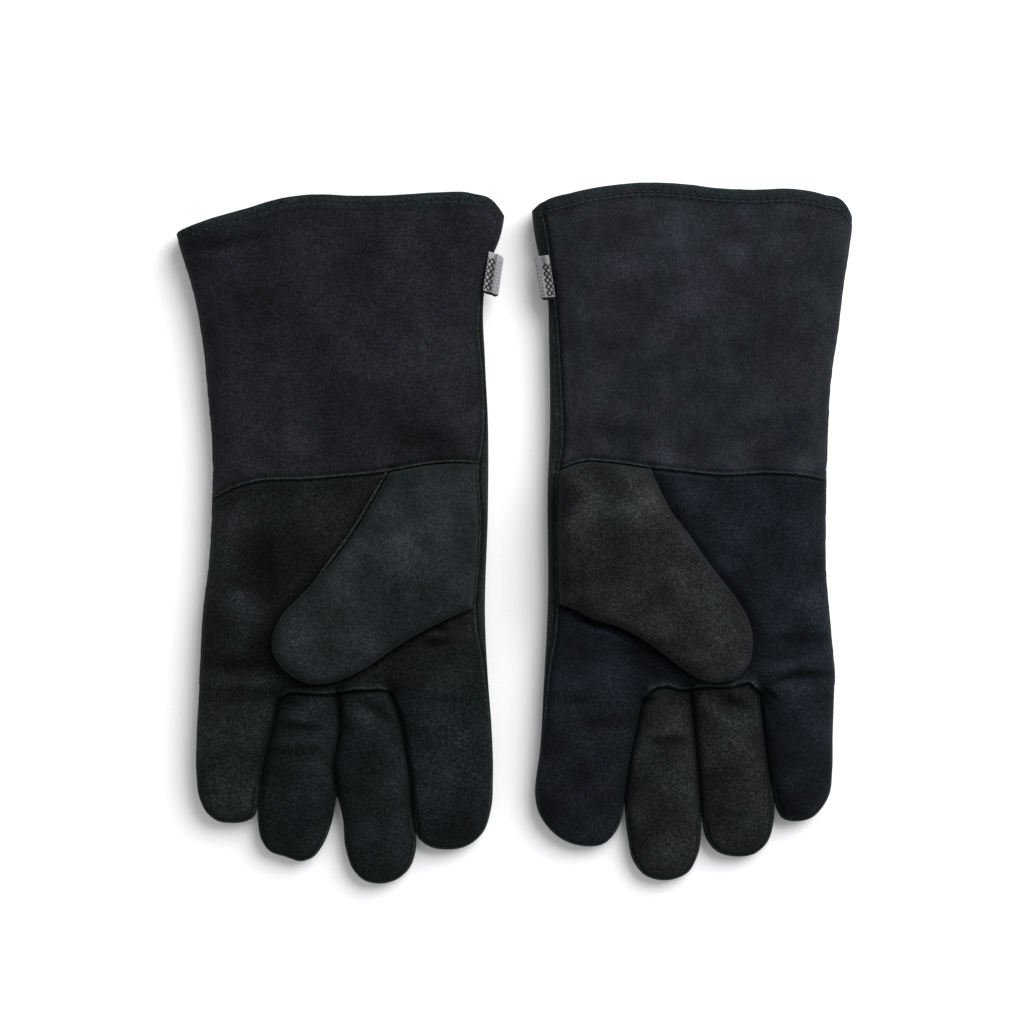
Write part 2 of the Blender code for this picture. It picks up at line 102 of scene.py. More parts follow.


# ------------------------------ outlines

# Each glove in plan:
#   inner, outer, seam        (v, u) points of the edge on the thumb's side, of the far edge, and of the seam
#                             beside the thumb, whose groove ends at v = seam_end
#   mouth, wrist, base        (u, v) points of the cuff's edge, of the cuff's seam and of the fingers' roots
#   crotches, sides, tips     u between the fingers' roots, the gaps between fingers, and the fingers' ends
#   heel, crest               the two ends of the thumb's root
#   thumb_low, thumb_high     the thumb's edges from there to thumb_apex
#   label                     the label's top and bottom on the seam, and its outer bottom corner
#   creases                   lines, each with its depth and width
#   bands, nap
#                             lines with a width, and patches with a radius, of painted light and shade: paler
#                             where the leather would face the light, darker where it would lie in shade
#   ridge                     the radius of the knuckle piping, and the width of the painted teal highlight beside it
#   shade                     reach of the painted shade under the thumb's low edge, of the painted dark line round
#                             the thumb, and of the painted shade by its high edge, with that shade's strength
#   stitch_rows, thumb_welt   how far in the rows of hem stitches lie, and the share of the thumb's high edge
#                             that has a welt
GLOVES = {
    "left": dict(
        side=-1,
        inner=((-95, 12.1), (-41, 14.9), (12.9, 13.4), (59, 13.4), (90, 14.9), (122, 15.6), (136.6, 13.6),
               (154.7, 6.8), (177, 3.4)),
        outer=((-95, 163.4), (-79.9, 162.4), (-41.2, 160.3), (-10.3, 156.7), (12.9, 155.6), (51.5, 155.7),
               (67, 157.2), (99, 160.2), (125, 165.1), (155.7, 174.4), (170, 178.5)),
        mouth=((4.7, 165.2), (9.3, 170.8), (21.6, 175.1), (40.2, 175.4), (64.9, 173.9), (83.5, 173.9),
               (105.8, 174.3), (118.1, 172.7), (135.4, 167.7), (157.7, 161.5), (174.4, 155.7)),
        wrist=((13, 36), (25, 37.6), (40.2, 37.1), (67.1, 32.7), (103.4, 29.2), (139.8, 26), (156.5, 18.5)),
        base=((10, -79), (50, -79.4), (63.9, -80.3), (67.5, -79), (75, -78.9), (83, -79.1), (90.8, -80.6),
              (100.2, -81.2), (108, -80.5), (118, -81.6), (120.8, -83.9), (125, -82), (132, -80.9),
              (165, -80)),
        crotches=(63.9, 90.8, 120.8),
        seam=((-95, 13), (-61.7, 17.2), (-49, 19.6), (-37.1, 20.4), (-14.3, 18.4), (9.4, 17.6), (36.1, 18.6),
              (45.9, 16.9), (83, 16.6), (107.7, 18.8), (122.6, 17.6), (151, 12.4), (176, 10.5)),
        sides=(
            ((59.1, -93.3), (56, -109.1), (53.6, -124.7), (52.8, -138.7)),
            ((90, -101.2), (93.1, -118.5), (91.5, -132.9)),
            ((124, -97.9), (127.9, -112.4), (130.4, -124.7), (132.2, -139)),
        ),
        tips=(
            ((11.3, -103), (10.8, -126.3), (11.7, -141), (16.5, -154.5), (24.5, -160.9), (34.0, -162.7),
             (43, -161.4), (49.6, -156.4), (52.6, -147)),
            ((51.0, -152), (50.7, -163), (54.5, -173), (61, -178.4), (69.6, -180.3), (77.5, -178.6),
             (83.0, -173.2), (87.0, -162), (88.5, -146)),
            ((92.2, -139), (95.0, -151.5), (99.5, -161.5), (103.8, -166.6), (109.5, -168.7), (118.5, -166.3),
             (126.5, -163.4), (130.6, -157.5), (132.3, -148)),
            ((134.5, -145.8), (139.5, -148.3), (146.5, -148.9), (152.8, -148), (158.4, -143.9), (162.4, -136),
             (163.9, -124), (163.8, -105)),
        ),
        heel=(20.6, -37.2),
        crest=(63.1, 33.2),
        thumb_low=((34, -42.8), (48.1, -49.8), (62.4, -58.5), (74.9, -67.3), (87.6, -73.5), (97, -75.9),
                   (104.4, -75.9), (112.4, -72.8)),
        thumb_high=((71.8, 17.4), (84.5, -3.1), (97.1, -19), (109.8, -31.6), (119.2, -42), (123.7, -52.2),
                    (123.2, -60)),
        thumb_apex=(119.2, -67.0),
        label=((12.9, 145.8), (16.0, 124.6), (8.2, 122.2)),
        creases=(
            (((33.5, -49), (38, -48), (43.5, -46.8)), 2.4, 1.3),
            (((110, -86.6), (114, -86.4), (119.5, -85.6)), 2.4, 1.3),
            (((98, -99.5), (108, -98.6), (120, -97.2)), 1.0, 1.6),
            (((63.5, -81), (62, -90)), 1.2, 1.4),
            (((79, -84.5), (70, -90), (61, -97)), 1.0, 3.0),
            (((32, -54.5), (39, -55.5), (47, -54.5)), 0.9, 2.2),
            (((104, -112), (127, -112)), 0.5, 2.4),
            (((124, -66), (140, -67), (160, -66)), 0.9, 3.6),
            (((122, -84), (140, -82), (162, -84)), 0.6, 3.6),
            (((28, -84), (50, -84)), 0.5, 3.0),
            (((22, 46), (45, 49), (60, 43)), 0.9, 5.0),
            (((130, 152), (150, 149), (166, 147)), 1.1, 4.0),
        ),
        bands=(
            (((117, -75), (140, -75.5), (160, -74)), 3.6, 0.8),
            (((124, -66), (155, -66)), 4.0, -0.7),
            (((122, -84), (160, -83)), 4.0, -0.4),
            (((98, -99.5), (120, -97.2)), 1.8, -0.9),
            (((102, -112), (127, -112)), 2.6, -0.5),
            (((102, -104.5), (121, -104)), 2.6, 0.6),
            (((106, -92), (119, -91.5)), 2.4, 0.7),
            (((80, -84), (70, -90), (61, -97)), 2.8, -1.0),
            (((86, -89), (76, -96), (68, -104)), 3.2, 0.6),
            (((32, -54.8), (46, -55)), 2.2, -1.0),
            (((35, -50.8), (46, -51)), 1.3, 0.9),
            (((60, -63), (72, -70), (84, -76)), 3.0, 0.4),
            (((28, -84), (50, -84)), 3.0, -0.4),
        ),
        seam_end=124,
        ridge=(0.45, 1.0),
        shade=(1.6, 1.5, 5.0, 0.35),
        stitch_rows=(3.6,),
        thumb_welt=0.62,
        nap=((145, 7, 13, 0.7), (124, -15, 20, -0.9), (140, -34, 10, 0.8), (152, -46, 9, -0.6),
             (131, -56, 8, -1.0), (26, -45, 4, -0.7), (86, -98, 4, -0.6), (104, -142, 14, -0.6),
             (70, -128, 10, 0.4), (116, -125, 8, -0.4), (62, -150, 12, 0.4), (27, -112, 16, 0.4),
             (36, -148, 13, -0.5), (52, -118, 5, 0.4), (75, -90, 7, 0.5), (77, -130, 12, -0.4),
             (66, -164, 8, 0.4), (104, -88, 6, 0.4), (97, -156, 6, 0.5), (128, -133, 4, 0.5),
             (31, -100, 12, 0.3), (14, -98, 5, 0.5), (63, -9, 16, 0.5), (114, -52, 12, 0.5),
             (42, -38, 14, -0.7), (30, 17, 12, 0.5), (57, 30, 8, -0.6), (80, 55, 30, -0.3),
             (130, 120, 24, -0.3), (45, 95, 26, 0.3), (50, 50, 12, -0.6)),
    ),
    "right": dict(
        side=1,
        inner=((-95, 14.4), (-33.5, 17.5), (28, 17.5), (49, 18.4), (105.7, 18), (118.8, 17.7), (157.2, 10.3),
               (180, 8)),
        outer=((-95, 164.5), (-72, 165.4), (-49, 163.4), (-18, 160.8), (12.9, 160.8), (52, 161.8),
               (83, 163.7), (107.7, 167.4), (128.7, 169.9), (153.5, 173.6), (178, 176)),
        mouth=((9.1, 167.7), (12.8, 170.2), (28.9, 175.1), (66, 180.4), (84.5, 179.7), (103.1, 177.6),
               (121.6, 176.8), (143.9, 177.3), (158.7, 174.5), (171.1, 169.6), (174.8, 164)),
        wrist=((17, 32), (24, 34.4), (35.9, 38.2), (50, 37.6), (69.1, 35), (86.5, 33.1), (105.5, 31.2),
               (133.9, 32), (157.6, 29.2), (161.5, 28.2)),
        base=((12, -80), (50, -80), (62, -81.6), (66.7, -84), (69.2, -80.2), (72.5, -78), (79, -77),
              (85.5, -78.6), (98, -77.3), (112, -77), (117, -75.6), (121, -75.2), (124, -77.4),
              (126.8, -80.9), (131, -80.4), (166, -80)),
        crotches=(66.7, 91.2, 126.8),
        seam=((-95, 15.9), (-68, 18.7), (-49, 21.6), (1.5, 21.6), (33.5, 22.7), (45.9, 24.5), (76.8, 23.9),
              (147.3, 17.7), (166, 14.6), (178, 13.5)),
        sides=(
            ((62.8, -101.2), (58.8, -121.8), (57.2, -134.4)),
            ((92.8, -98.1), (94.3, -113.9), (95.9, -132.9)),
            ((128.2, -95), (130.8, -117), (133.9, -134)),
        ),
        tips=(
            ((14.1, -102), (13.2, -113), (11.6, -124), (10.9, -134), (12.6, -143), (18.0, -151.6), (26, -158),
             (37, -161), (46, -159.9), (51.9, -154.6), (55.9, -145.5)),
            ((57.6, -146), (58.9, -157), (61.6, -168.5), (67.5, -175.8), (78.5, -178.6), (89.9, -174.6),
             (95.2, -165), (96.7, -148.6)),
            ((97.2, -147), (99.6, -157.5), (104.8, -163.6), (115, -166.3), (124.5, -164.8), (130.2, -160),
             (134.3, -148)),
            ((135.4, -141), (138.5, -146.3), (146.8, -148.0), (153.6, -146.3), (158.8, -141.5), (162.9, -134),
             (164.3, -122), (164.5, -105)),
        ),
        heel=(22.6, -35.2),
        crest=(69.9, 35.0),
        thumb_low=((31.1, -38), (40.6, -42.8), (51.7, -45.9), (64.3, -52.2), (77, -60.8), (89.6, -70.4),
                   (97.6, -74.4), (107, -75.1), (113.5, -73)),
        thumb_high=((73.7, 25.3), (80.1, 12.6), (89.6, 0), (100.7, -15.9), (111.8, -30.1), (119.6, -42.8),
                    (122, -53.8), (121, -63)),
        thumb_apex=(118.0, -69.0),
        label=((17.9, 143.8), (21.4, 121.2), (14.0, 120.8)),
        creases=(
            (((32, -39.8), (40, -44.8), (50, -48.6)), 1.6, 1.5),
            (((126.6, -79.2), (130, -80.4), (136, -85.5)), 1.9, 1.1),
            (((127, -78.8), (140, -73), (164, -71)), 1.3, 2.0),
            (((127, -80), (130, -84), (132, -92)), 1.0, 1.4),
            (((66.6, -86.5), (69, -85), (73, -83.5)), 1.8, 1.2),
            (((82.5, -81), (81.5, -84), (79, -88.5)), 1.0, 1.1),
            (((70, -107), (80, -105.5), (92, -106)), 0.9, 2.4),
            (((106, -82), (113, -86), (121, -88)), 1.2, 2.6),
            (((124, -54), (142, -53), (160, -54)), 0.7, 3.6),
            (((18, -84), (46, -84)), 0.5, 3.2),
            (((38, -96), (56, -96.5)), 0.5, 3.2),
            (((30, 50), (50, 53), (80, 47)), 0.7, 5.0),
        ),
        bands=(
            (((142, -71), (165, -71.5)), 2.4, -1.0),
            (((127, -68), (150, -65)), 3.2, 0.7),
            (((130, -77.5), (163, -78.5)), 2.8, 0.7),
            (((124, -54), (160, -53)), 3.6, -0.5),
            (((35, -46.8), (46, -49.6), (60, -56)), 1.7, 1.1),
            (((70, -106.5), (92, -105.5)), 2.6, -0.8),
            (((63, -101.5), (84, -100.5)), 2.4, 0.4),
            (((107, -83), (121, -88)), 3.0, -1.0),
            (((94, -83.5), (103, -90), (114, -97)), 2.8, 0.8),
            (((18, -84), (46, -84)), 3.0, -0.4),
            (((38, -96), (56, -96)), 3.4, -0.5),
            (((62, -66), (84, -74)), 3.5, -0.6),
        ),
        seam_end=200,
        ridge=(0.75, 1.4),
        shade=(2.7, 1.3, 7.0, 0.5),
        stitch_rows=(3.2, 5.0),
        thumb_welt=0,
        nap=((38, 15, 10, 0.6), (65, 17, 10, 0.6), (52, 24, 8, -0.6), (50, -12, 14, -0.4),
             (115, -63, 7, 0.4), (117, -33, 9, -0.6), (150, -30, 12, 0.4), (30, -57, 9, -0.4),
             (35, -120, 16, -0.5), (124, -122, 6, 0.5), (77, -140, 26, 0.16), (115, -130, 20, -0.1),
             (75, -92, 7, 0.4), (92, -130, 5, 0.4), (62, -118, 5, 0.4), (75, -150, 14, -0.4),
             (115, -130, 13, -0.4), (145, -115, 14, -0.4), (60, 110, 24, -0.3), (130, 95, 20, -0.4),
             (90, 150, 26, 0.3)),
    ),
}


# ------------------------------ curves and fields


def curve(points):
    """A smooth function through (x, y) points in order of x, for arrays."""
    xs, ys = np.array(points, float).T
    slopes = np.gradient(ys, xs)

    def value(x):
        x = np.clip(x, xs[0], xs[-1])
        i = np.clip(np.searchsorted(xs, x, side="right") - 1, 0, len(xs) - 2)
        step = xs[i + 1] - xs[i]
        t = (x - xs[i]) / step
        ends = ys[i] * (1 + 2 * t) * (1 - t) ** 2 + ys[i + 1] * t * t * (3 - 2 * t)
        return ends + step * (slopes[i] * t * (1 - t) ** 2 - slopes[i + 1] * t * t * (1 - t))

    return value


def lengths(line):
    return np.r_[0, np.cumsum(np.linalg.norm(np.diff(line, axis=0), axis=1))]


def spline(points, step=0.5):
    """Points along a smooth line through a few points."""
    p = np.array(points, float)
    s = lengths(p)
    t = np.linspace(0, s[-1], int(s[-1] / step) + 2)
    return np.stack([curve(np.c_[s, p[:, k]])(t) for k in range(p.shape[1])], axis=1)


def at_lengths(line, at):
    """Points at lengths along a line."""
    s = lengths(line)
    return np.stack([np.interp(at, s, line[:, k]) for k in range(line.shape[1])], axis=1)


def resample(line, at_shares):
    """Points at shares of a line's length."""
    return at_lengths(line, np.asarray(at_shares) * lengths(line)[-1])


def evenly(line, step):
    return resample(line, np.linspace(0, 1, int(lengths(line)[-1] / step) + 2))


def length_left(line):
    """The length from each point of a line to its end."""
    s = lengths(line)
    return s[-1] - s


def directions(line):
    """Unit directions along a line."""
    tangent = np.gradient(line, axis=0)
    return tangent / np.linalg.norm(tangent, axis=1, keepdims=True)


def inward(line, smoothing=9):
    """Unit directions to the left of a plan line, smoothed over a few points."""
    tangent = np.gradient(line, axis=0)
    kernel, pad = np.ones(smoothing) / smoothing, smoothing // 2
    tangent = np.stack([np.convolve(np.pad(tangent[:, k], pad, "edge"), kernel, "valid") for k in (0, 1)], 1)
    tangent /= np.linalg.norm(tangent, axis=1, keepdims=True)
    return np.c_[-tangent[:, 1], tangent[:, 0]]


def shares(length, reach=4.0):
    """Shares of a length for rows or columns, which are closer together within reach of its sewn ends."""
    x = np.linspace(0, length, 500)
    step = COARSE - (COARSE - FINE) * bell(x, reach) - (COARSE - FINE) * bell(length - x, reach)
    total = np.r_[0, np.cumsum(np.diff(x) / ((step[1:] + step[:-1]) / 2))]
    count = max(4, round(total[-1]))
    return np.interp(np.linspace(0, total[-1], count + 1), total, x) / length


def distance_along(points, line):
    """Distance from plan points to a line, and the length along it of the nearest place."""
    tree = kdtree.KDTree(len(line))
    for k, p in enumerate(line):
        tree.insert((p[0], p[1], 0), k)
    tree.balance()
    nearest = np.array([tree.find((p[0], p[1], 0))[1] for p in points])
    s = lengths(line)
    best = np.full(len(points), 1e9)
    along = np.zeros(len(points))
    for shift in (-1, 0):
        i = np.clip(nearest + shift, 0, len(line) - 2)
        a, b = line[i], line[i + 1]
        d = b - a
        size = np.maximum((d * d).sum(1), 1e-12)
        t = np.clip(((points - a) * d).sum(1) / size, 0, 1)
        r = np.linalg.norm(points - a - t[:, None] * d, axis=1)
        closer = r < best
        best = np.where(closer, r, best)
        along = np.where(closer, s[i] + t * np.sqrt(size), along)
    return best, along


def soft_distance(points, line):
    """A distance to an outline that has no ridge in the middle, and is exact close to the line."""
    coarse = evenly(line, 2.0)
    middle = (coarse[:-1] + coarse[1:]) / 2
    size = np.linalg.norm(np.diff(coarse, axis=0), axis=1)
    soft = np.empty(len(points))
    for k in range(0, len(points), 4000):
        r = np.linalg.norm(points[k : k + 4000, None] - middle[None], axis=2)
        soft[k : k + 4000] = ((size * np.maximum(r, 0.2) ** -5).sum(axis=1) / (4 / 3)) ** -0.25
    exact, _ = distance_along(points, line)
    share = smooth_step((exact - 2.5) / 4.0)
    return exact * (1 - share) + soft * share


def dome(x, power):
    """A rounded rise from 0 at x = 0 to 1 at x = 1 and beyond."""
    return (1 - (1 - np.clip(x, 0, 1)) ** power) ** (1 / power)


def smooth_step(x):
    x = np.clip(x, 0, 1)
    return x * x * (3 - 2 * x)


def bell(x, width):
    return np.exp(-((x / width) ** 2))


def waves(points, seed, shortest, longest, count=14):
    """A gentle uneven field, from -1 to 1 or so, made of a few waves that cross."""
    random = np.random.default_rng(seed)
    total = np.zeros(len(points))
    for _ in range(count):
        angle = random.uniform(0, math.tau)
        k = math.tau / (shortest * (longest / shortest) ** random.uniform())
        start = random.uniform(0, math.tau)
        phase = (points[:, 0] * math.cos(angle) + points[:, 1] * math.sin(angle)) * k
        total += np.sin(phase + start + 0.9 * np.sin(phase * 0.37 + start * 2))
    return total / math.sqrt(count)


# ------------------------------ materials

# How many times paler the suede is for each unit of the nap field, which also holds painted light and shade
NAP_STEP = 2.5
NAP_PATCHES = 0.18
COOL, WARM = (0.95, 1.02, 0.98), (1.03, 0.985, 1.02)
# Painted shade: the near black that the suede goes towards in creases, grooves and gaps
PAINTED_SHADE_COLOUR = (0.0004, 0.0005, 0.0006)
LINT_COLOUR = (0.05, 0.055, 0.052)
SUEDE_SHEEN = (0.6, 0.8, 0.8)
LABEL_GREYS = ((0.19, 0.195, 0.20), (0.29, 0.295, 0.31))
LABEL_BLACK = (0.005, 0.005, 0.006)
# The label's black end: black thread, and painted shade where its fold ends
LABEL_END_THREAD_AND_SHADE = (0.003, 0.003, 0.0035)
PAPER_WHITES = ((0.83, 0.83, 0.835), (0.85, 0.85, 0.855))


class Nodes:
    """A short way to write a material's nodes."""

    def __init__(self, name):
        self.material = bpy.data.materials.new(name)
        self.material.use_nodes = True
        self.tree = self.material.node_tree
        self.shader = self.tree.nodes["Principled BSDF"]
        self.place = self.tree.nodes.new("ShaderNodeTexCoord").outputs["Object"]

    def node(self, kind, inputs=(), **settings):
        node = self.tree.nodes.new(kind)
        for key, value in settings.items():
            setattr(node, key, value)
        for key, value in dict(inputs).items():
            self.put(node.inputs[key], value)
        return node

    def put(self, socket, value):
        if isinstance(value, bpy.types.NodeSocket):
            self.tree.links.new(value, socket)
        elif socket.type == "RGBA":
            socket.default_value = (*value, 1)
        else:
            socket.default_value = value

    def turned(self, rotation, scale=(1, 1, 1), place=None):
        inputs = {"Vector": place or self.place, "Rotation": rotation, "Scale": scale}
        return self.node("ShaderNodeMapping", inputs).outputs["Vector"]

    def noise(self, scale, detail=3.0, roughness=0.55, distortion=0.0, place=None):
        inputs = {"Vector": place or self.place, "Scale": scale, "Detail": detail, "Roughness": roughness,
                  "Distortion": distortion}
        return self.node("ShaderNodeTexNoise", inputs).outputs["Fac"]

    def wave(self, scale, direction="X", place=None, distortion=0.0):
        inputs = {"Vector": place or self.place, "Scale": scale, "Distortion": distortion}
        return self.node("ShaderNodeTexWave", inputs, bands_direction=direction).outputs["Fac"]

    def ramp(self, value, low, high, first=0.0, last=1.0):
        inputs = {"Value": value, "From Min": low, "From Max": high, "To Min": first, "To Max": last}
        return self.node("ShaderNodeMapRange", inputs, interpolation_type="SMOOTHSTEP").outputs["Result"]

    def between(self, value, rise, fall):
        """1 from the end of a rise to the start of a fall, and 0 outside them."""
        return self.times(self.ramp(value, *rise), self.ramp(value, *fall, 1.0, 0.0))

    def math(self, operation, a, b):
        return self.node("ShaderNodeMath", {0: a, 1: b}, operation=operation).outputs["Value"]

    def times(self, a, b):
        return self.math("MULTIPLY", a, b)

    def plus(self, a, b):
        return self.math("ADD", a, b)

    def mix(self, share, a, b, blend="MIX"):
        node = self.tree.nodes.new("ShaderNodeMix")
        node.data_type = "RGBA"
        node.blend_type = blend
        self.put(node.inputs["Factor"], share)
        self.put(node.inputs[6], a)
        self.put(node.inputs[7], b)
        return node.outputs[2]

    def shaded(self, colour, factor):
        """A colour times a number."""
        grey = self.node("ShaderNodeCombineColor", dict.fromkeys(("Red", "Green", "Blue"), factor))
        return self.mix(1.0, colour, grey.outputs["Color"], "MULTIPLY")

    def attribute(self, name):
        return self.node("ShaderNodeAttribute", attribute_name=name).outputs["Fac"]

    def bump(self, height, distance, strength, under=None):
        inputs = {"Distance": distance, "Strength": strength, "Height": height}
        if under:
            inputs["Normal"] = under
        return self.node("ShaderNodeBump", inputs).outputs["Normal"]

    def finish(self, colour, normal, roughness, sheen, tint=(1, 1, 1), specular=0.25):
        inputs = {"Base Color": colour, "Normal": normal, "Roughness": roughness, "Sheen Weight": sheen,
                  "Specular IOR Level": specular, "Sheen Roughness": 0.5, "Sheen Tint": tint}
        for key, value in inputs.items():
            self.put(self.shader.inputs[key], value)
        return self.material


def tinted(colour, factors):
    return tuple(c * f for c, f in zip(colour, factors))


def scaled(colour, factor):
    return tinted(colour, (factor,) * 3)


def dyed_ground(n, tone):
    """The leather's own colour, which drifts a little between cool and warm."""
    drift = n.plus(n.times(n.noise(26, 3, 0.6, 0.4), 0.6), n.times(n.noise(95, 3, 0.6), 0.4))
    return n.mix(n.ramp(drift, 0.42, 0.58), tinted(tone, COOL), tinted(tone, WARM))


def nap_and_painted_light_factor(n, patches):
    """How pale the leather is for the way that its nap lies, and for the painted light and shade in the same
    field: NAP_STEP times paler for each unit of it.
    """
    clouds = n.noise(30, 4, 0.55, 0.6)
    uneven = n.plus(*(n.ramp(field, 0.3, 0.7, -NAP_PATCHES, NAP_PATCHES) for field in (clouds, patches)))
    return n.math("POWER", NAP_STEP, n.plus(n.attribute("nap"), uneven))


def brushed_fibres(n):
    coarse = n.noise(780, 3, 0.7, 0.2)
    fine = n.noise(1900, 2, 0.6, 0.5, n.turned((0, 0, 0.5), (1.0, 0.5, 1.0)))
    return n.plus(n.times(coarse, 0.5), n.times(fine, 0.5))


def grain_shade(n, fibres, grain):
    """How pale the leather is at each fibre. Its middle keeps the whole as dark as it is with no grain."""
    spread = 0.93 * grain - 0.27
    middle = math.log(1 + 0.05 * grain) - 0.14 * spread**2
    return n.math("POWER", math.e, n.ramp(fibres, 0.35, 0.65, middle - spread, middle + spread))


def lint_spots(n):
    spots = n.node("ShaderNodeTexVoronoi", {"Vector": n.place, "Scale": 90}).outputs["Distance"]
    few = n.ramp(n.noise(60, 1, 0.5), 0.64, 0.67)
    return n.times(n.ramp(spots, 0.012, 0.026, 0.6, 0.0), few)


def suede(name, tone, highlight_teal, grain):
    """Brushed split leather: nap that lies each way with painted light and shade on it, a fibrous grain,
    a painted teal highlight by the seams and edges, painted shade in folds, and lint.
    """
    n = Nodes(name)
    patches = n.noise(120, 4, 0.62, 0.4)
    colour = n.shaded(dyed_ground(n, tone), nap_and_painted_light_factor(n, patches))
    # Painted shade: the fold field darkens the colour towards near black in creases, grooves and gaps
    colour = n.mix(n.times(n.attribute("fold"), 0.9), colour, PAINTED_SHADE_COLOUR)
    # Painted highlight: teal where the raised nap by the seams and edges would catch the light
    seam_highlight = n.times(n.attribute("seam"), n.ramp(n.noise(300, 3, 0.6), 0.34, 0.62, 0.3, 1.0))
    colour = n.mix(seam_highlight, colour, highlight_teal)
    fibres = brushed_fibres(n)
    colour = n.shaded(colour, grain_shade(n, fibres, grain))
    colour = n.mix(lint_spots(n), colour, LINT_COLOUR)
    normal = n.bump(fibres, 0.0004, 0.7, n.bump(patches, 0.0009, 0.4))
    return n.finish(colour, normal, 0.95, 0.02, SUEDE_SHEEN, 0.06)


def knit(name, colour):
    """Soft brushed cotton for the linings."""
    n = Nodes(name)
    rows = n.wave(850, distortion=1.5)
    height = n.plus(n.times(rows, 0.6), n.times(n.noise(1500, 3, 0.7), 0.6))
    tone = n.mix(n.ramp(height, 0.3, 0.9), scaled(colour, 0.6), colour)
    return n.finish(tone, n.bump(height, 0.0003, 0.6), 0.95, 0.3, specular=0.1)


def thread(name, colour):
    """Twisted sewing thread."""
    n = Nodes(name)
    twist = n.noise(1600, 2, 0.5)
    tone = n.mix(n.ramp(twist, 0.35, 0.65), scaled(colour, 0.5), colour)
    return n.finish(tone, n.bump(twist, 0.0001, 0.5), 0.7, 0.1)


def woven_tape(name):
    """Pale grey woven tape: crossed dark yarns along one side, broken lines along the other, and a black end
    of black thread, with painted shade where the fold ends.
    """
    n = Nodes(name)
    across, along = n.attribute("across"), n.attribute("along")
    place = n.node("ShaderNodeCombineXYZ", {"X": across, "Y": along}).outputs["Vector"]

    def stripes(turn, scale, low, high):
        return n.ramp(n.wave(scale, place=n.turned((0, 0, turn), place=place)), low, high)

    cloth = n.times(n.wave(650, "X"), n.wave(650, "Y"))
    hatch = n.math("MAXIMUM", *(stripes(turn, 0.155, 0.62, 0.84) for turn in (0.65, -0.65)))
    hatch = n.times(hatch, n.between(across, (0.0, 0.3), (4.0, 4.3)))
    lines = n.times(n.between(across, (4.9, 5.1), (6.9, 7.1)), stripes(0, 0.26, 0.45, 0.75))
    lines = n.times(lines, n.times(stripes(math.pi / 2, 0.17, 0.3, 0.6), 0.7))
    marks = n.times(n.math("MAXIMUM", hatch, lines), n.between(along, (1.6, 2.0), (18.5, 19.0)))
    colour = n.mix(marks, n.mix(n.ramp(cloth, 0.0, 0.5), *LABEL_GREYS), LABEL_BLACK)
    # Black thread with painted shade at the folded end
    colour = n.mix(n.ramp(along, 1.2, 1.45, 1.0, 0.0), colour, LABEL_END_THREAD_AND_SHADE)
    return n.finish(colour, n.bump(cloth, 0.0002, 0.7), 0.8, 0.05)


def floor_paper():
    """Matt white paper with a barely visible tooth."""
    n = Nodes("floor_paper")
    tooth = n.noise(700, 2, 0.5)
    colour = n.mix(n.ramp(tooth, 0.3, 0.7), *PAPER_WHITES)
    return n.finish(colour, n.bump(tooth, 0.00005, 0.2), 0.95, 0.0, specular=0.05)


# Colours of each part's leather, and how strong its grain is
# The teal of the painted highlight by the seams and edges, for each glove
HIGHLIGHT_TEAL = {"left": (0.0105, 0.0165, 0.0160), "right": (0.0100, 0.0155, 0.0160)}
# In each glove the welt colour, on the piping and the fingertip rims, is paler than the leather round it: a
# painted highlight on these ridges
TONES = {
    "left": dict(
        palm=(0.0052, 0.0060, 0.0066), little=(0.0082, 0.0096, 0.0101), index=(0.0054, 0.0070, 0.0080),
        finger=(0.0052, 0.0071, 0.0078), thumb=(0.0089, 0.0112, 0.0123), cuff=(0.0076, 0.0080, 0.0099),
        back=(0.0040, 0.0044, 0.0050), strip=(0.0060, 0.0076, 0.0080), welt=(0.0112, 0.0138, 0.0126),
    ),
    "right": dict(
        palm=(0.0049, 0.0063, 0.0086), little=(0.0046, 0.0060, 0.0082), index=(0.0050, 0.0062, 0.0079),
        finger=(0.0084, 0.0093, 0.0100), thumb=(0.0097, 0.0102, 0.0108), cuff=(0.0100, 0.0110, 0.0138),
        back=(0.0044, 0.0048, 0.0055), strip=(0.0120, 0.0140, 0.0142), welt=(0.0100, 0.0140, 0.0135),
    ),
}
PLAIN_GRAIN = dict.fromkeys(("back", "strip", "welt"), 1.2)
GRAIN = {
    "left": dict(PLAIN_GRAIN, palm=1.3, little=1.4, index=1.4, finger=1.25, thumb=1.0, cuff=1.0),
    "right": dict(PLAIN_GRAIN, palm=1.05, little=1.05, index=1.2, finger=1.3, thumb=1.2, cuff=0.8),
}
SUEDE = {
    (glove, part): suede(f"{glove}_{part}_suede", tone, HIGHLIGHT_TEAL[glove], GRAIN[glove][part])
    for glove, tones in TONES.items() for part, tone in tones.items()
}
HEM_THREAD = thread("hem_thread", (0.0095, 0.0100, 0.0098))
TAPE = woven_tape("woven_tape")
LINING = knit("lining_knit", (0.045, 0.046, 0.048))


# ------------------------------ meshes

# Point fields that the suede reads, in order: a painted teal highlight by the seams and edges, the nap's
# drift with painted light and shade on top, and painted shade in folds, grooves and gaps
FIELDS = ("seam", "nap", "fold")
# How much paler the welts are made in the nap field: a painted highlight on their ridges
WELT_PAINTED_HIGHLIGHT = 0.3
WELT_SIDES = 8
WELT_STEP = 0.8
STITCH_LENGTH = 2.5
STITCH_GAP = 1.1
STITCH_RADIUS = 0.24


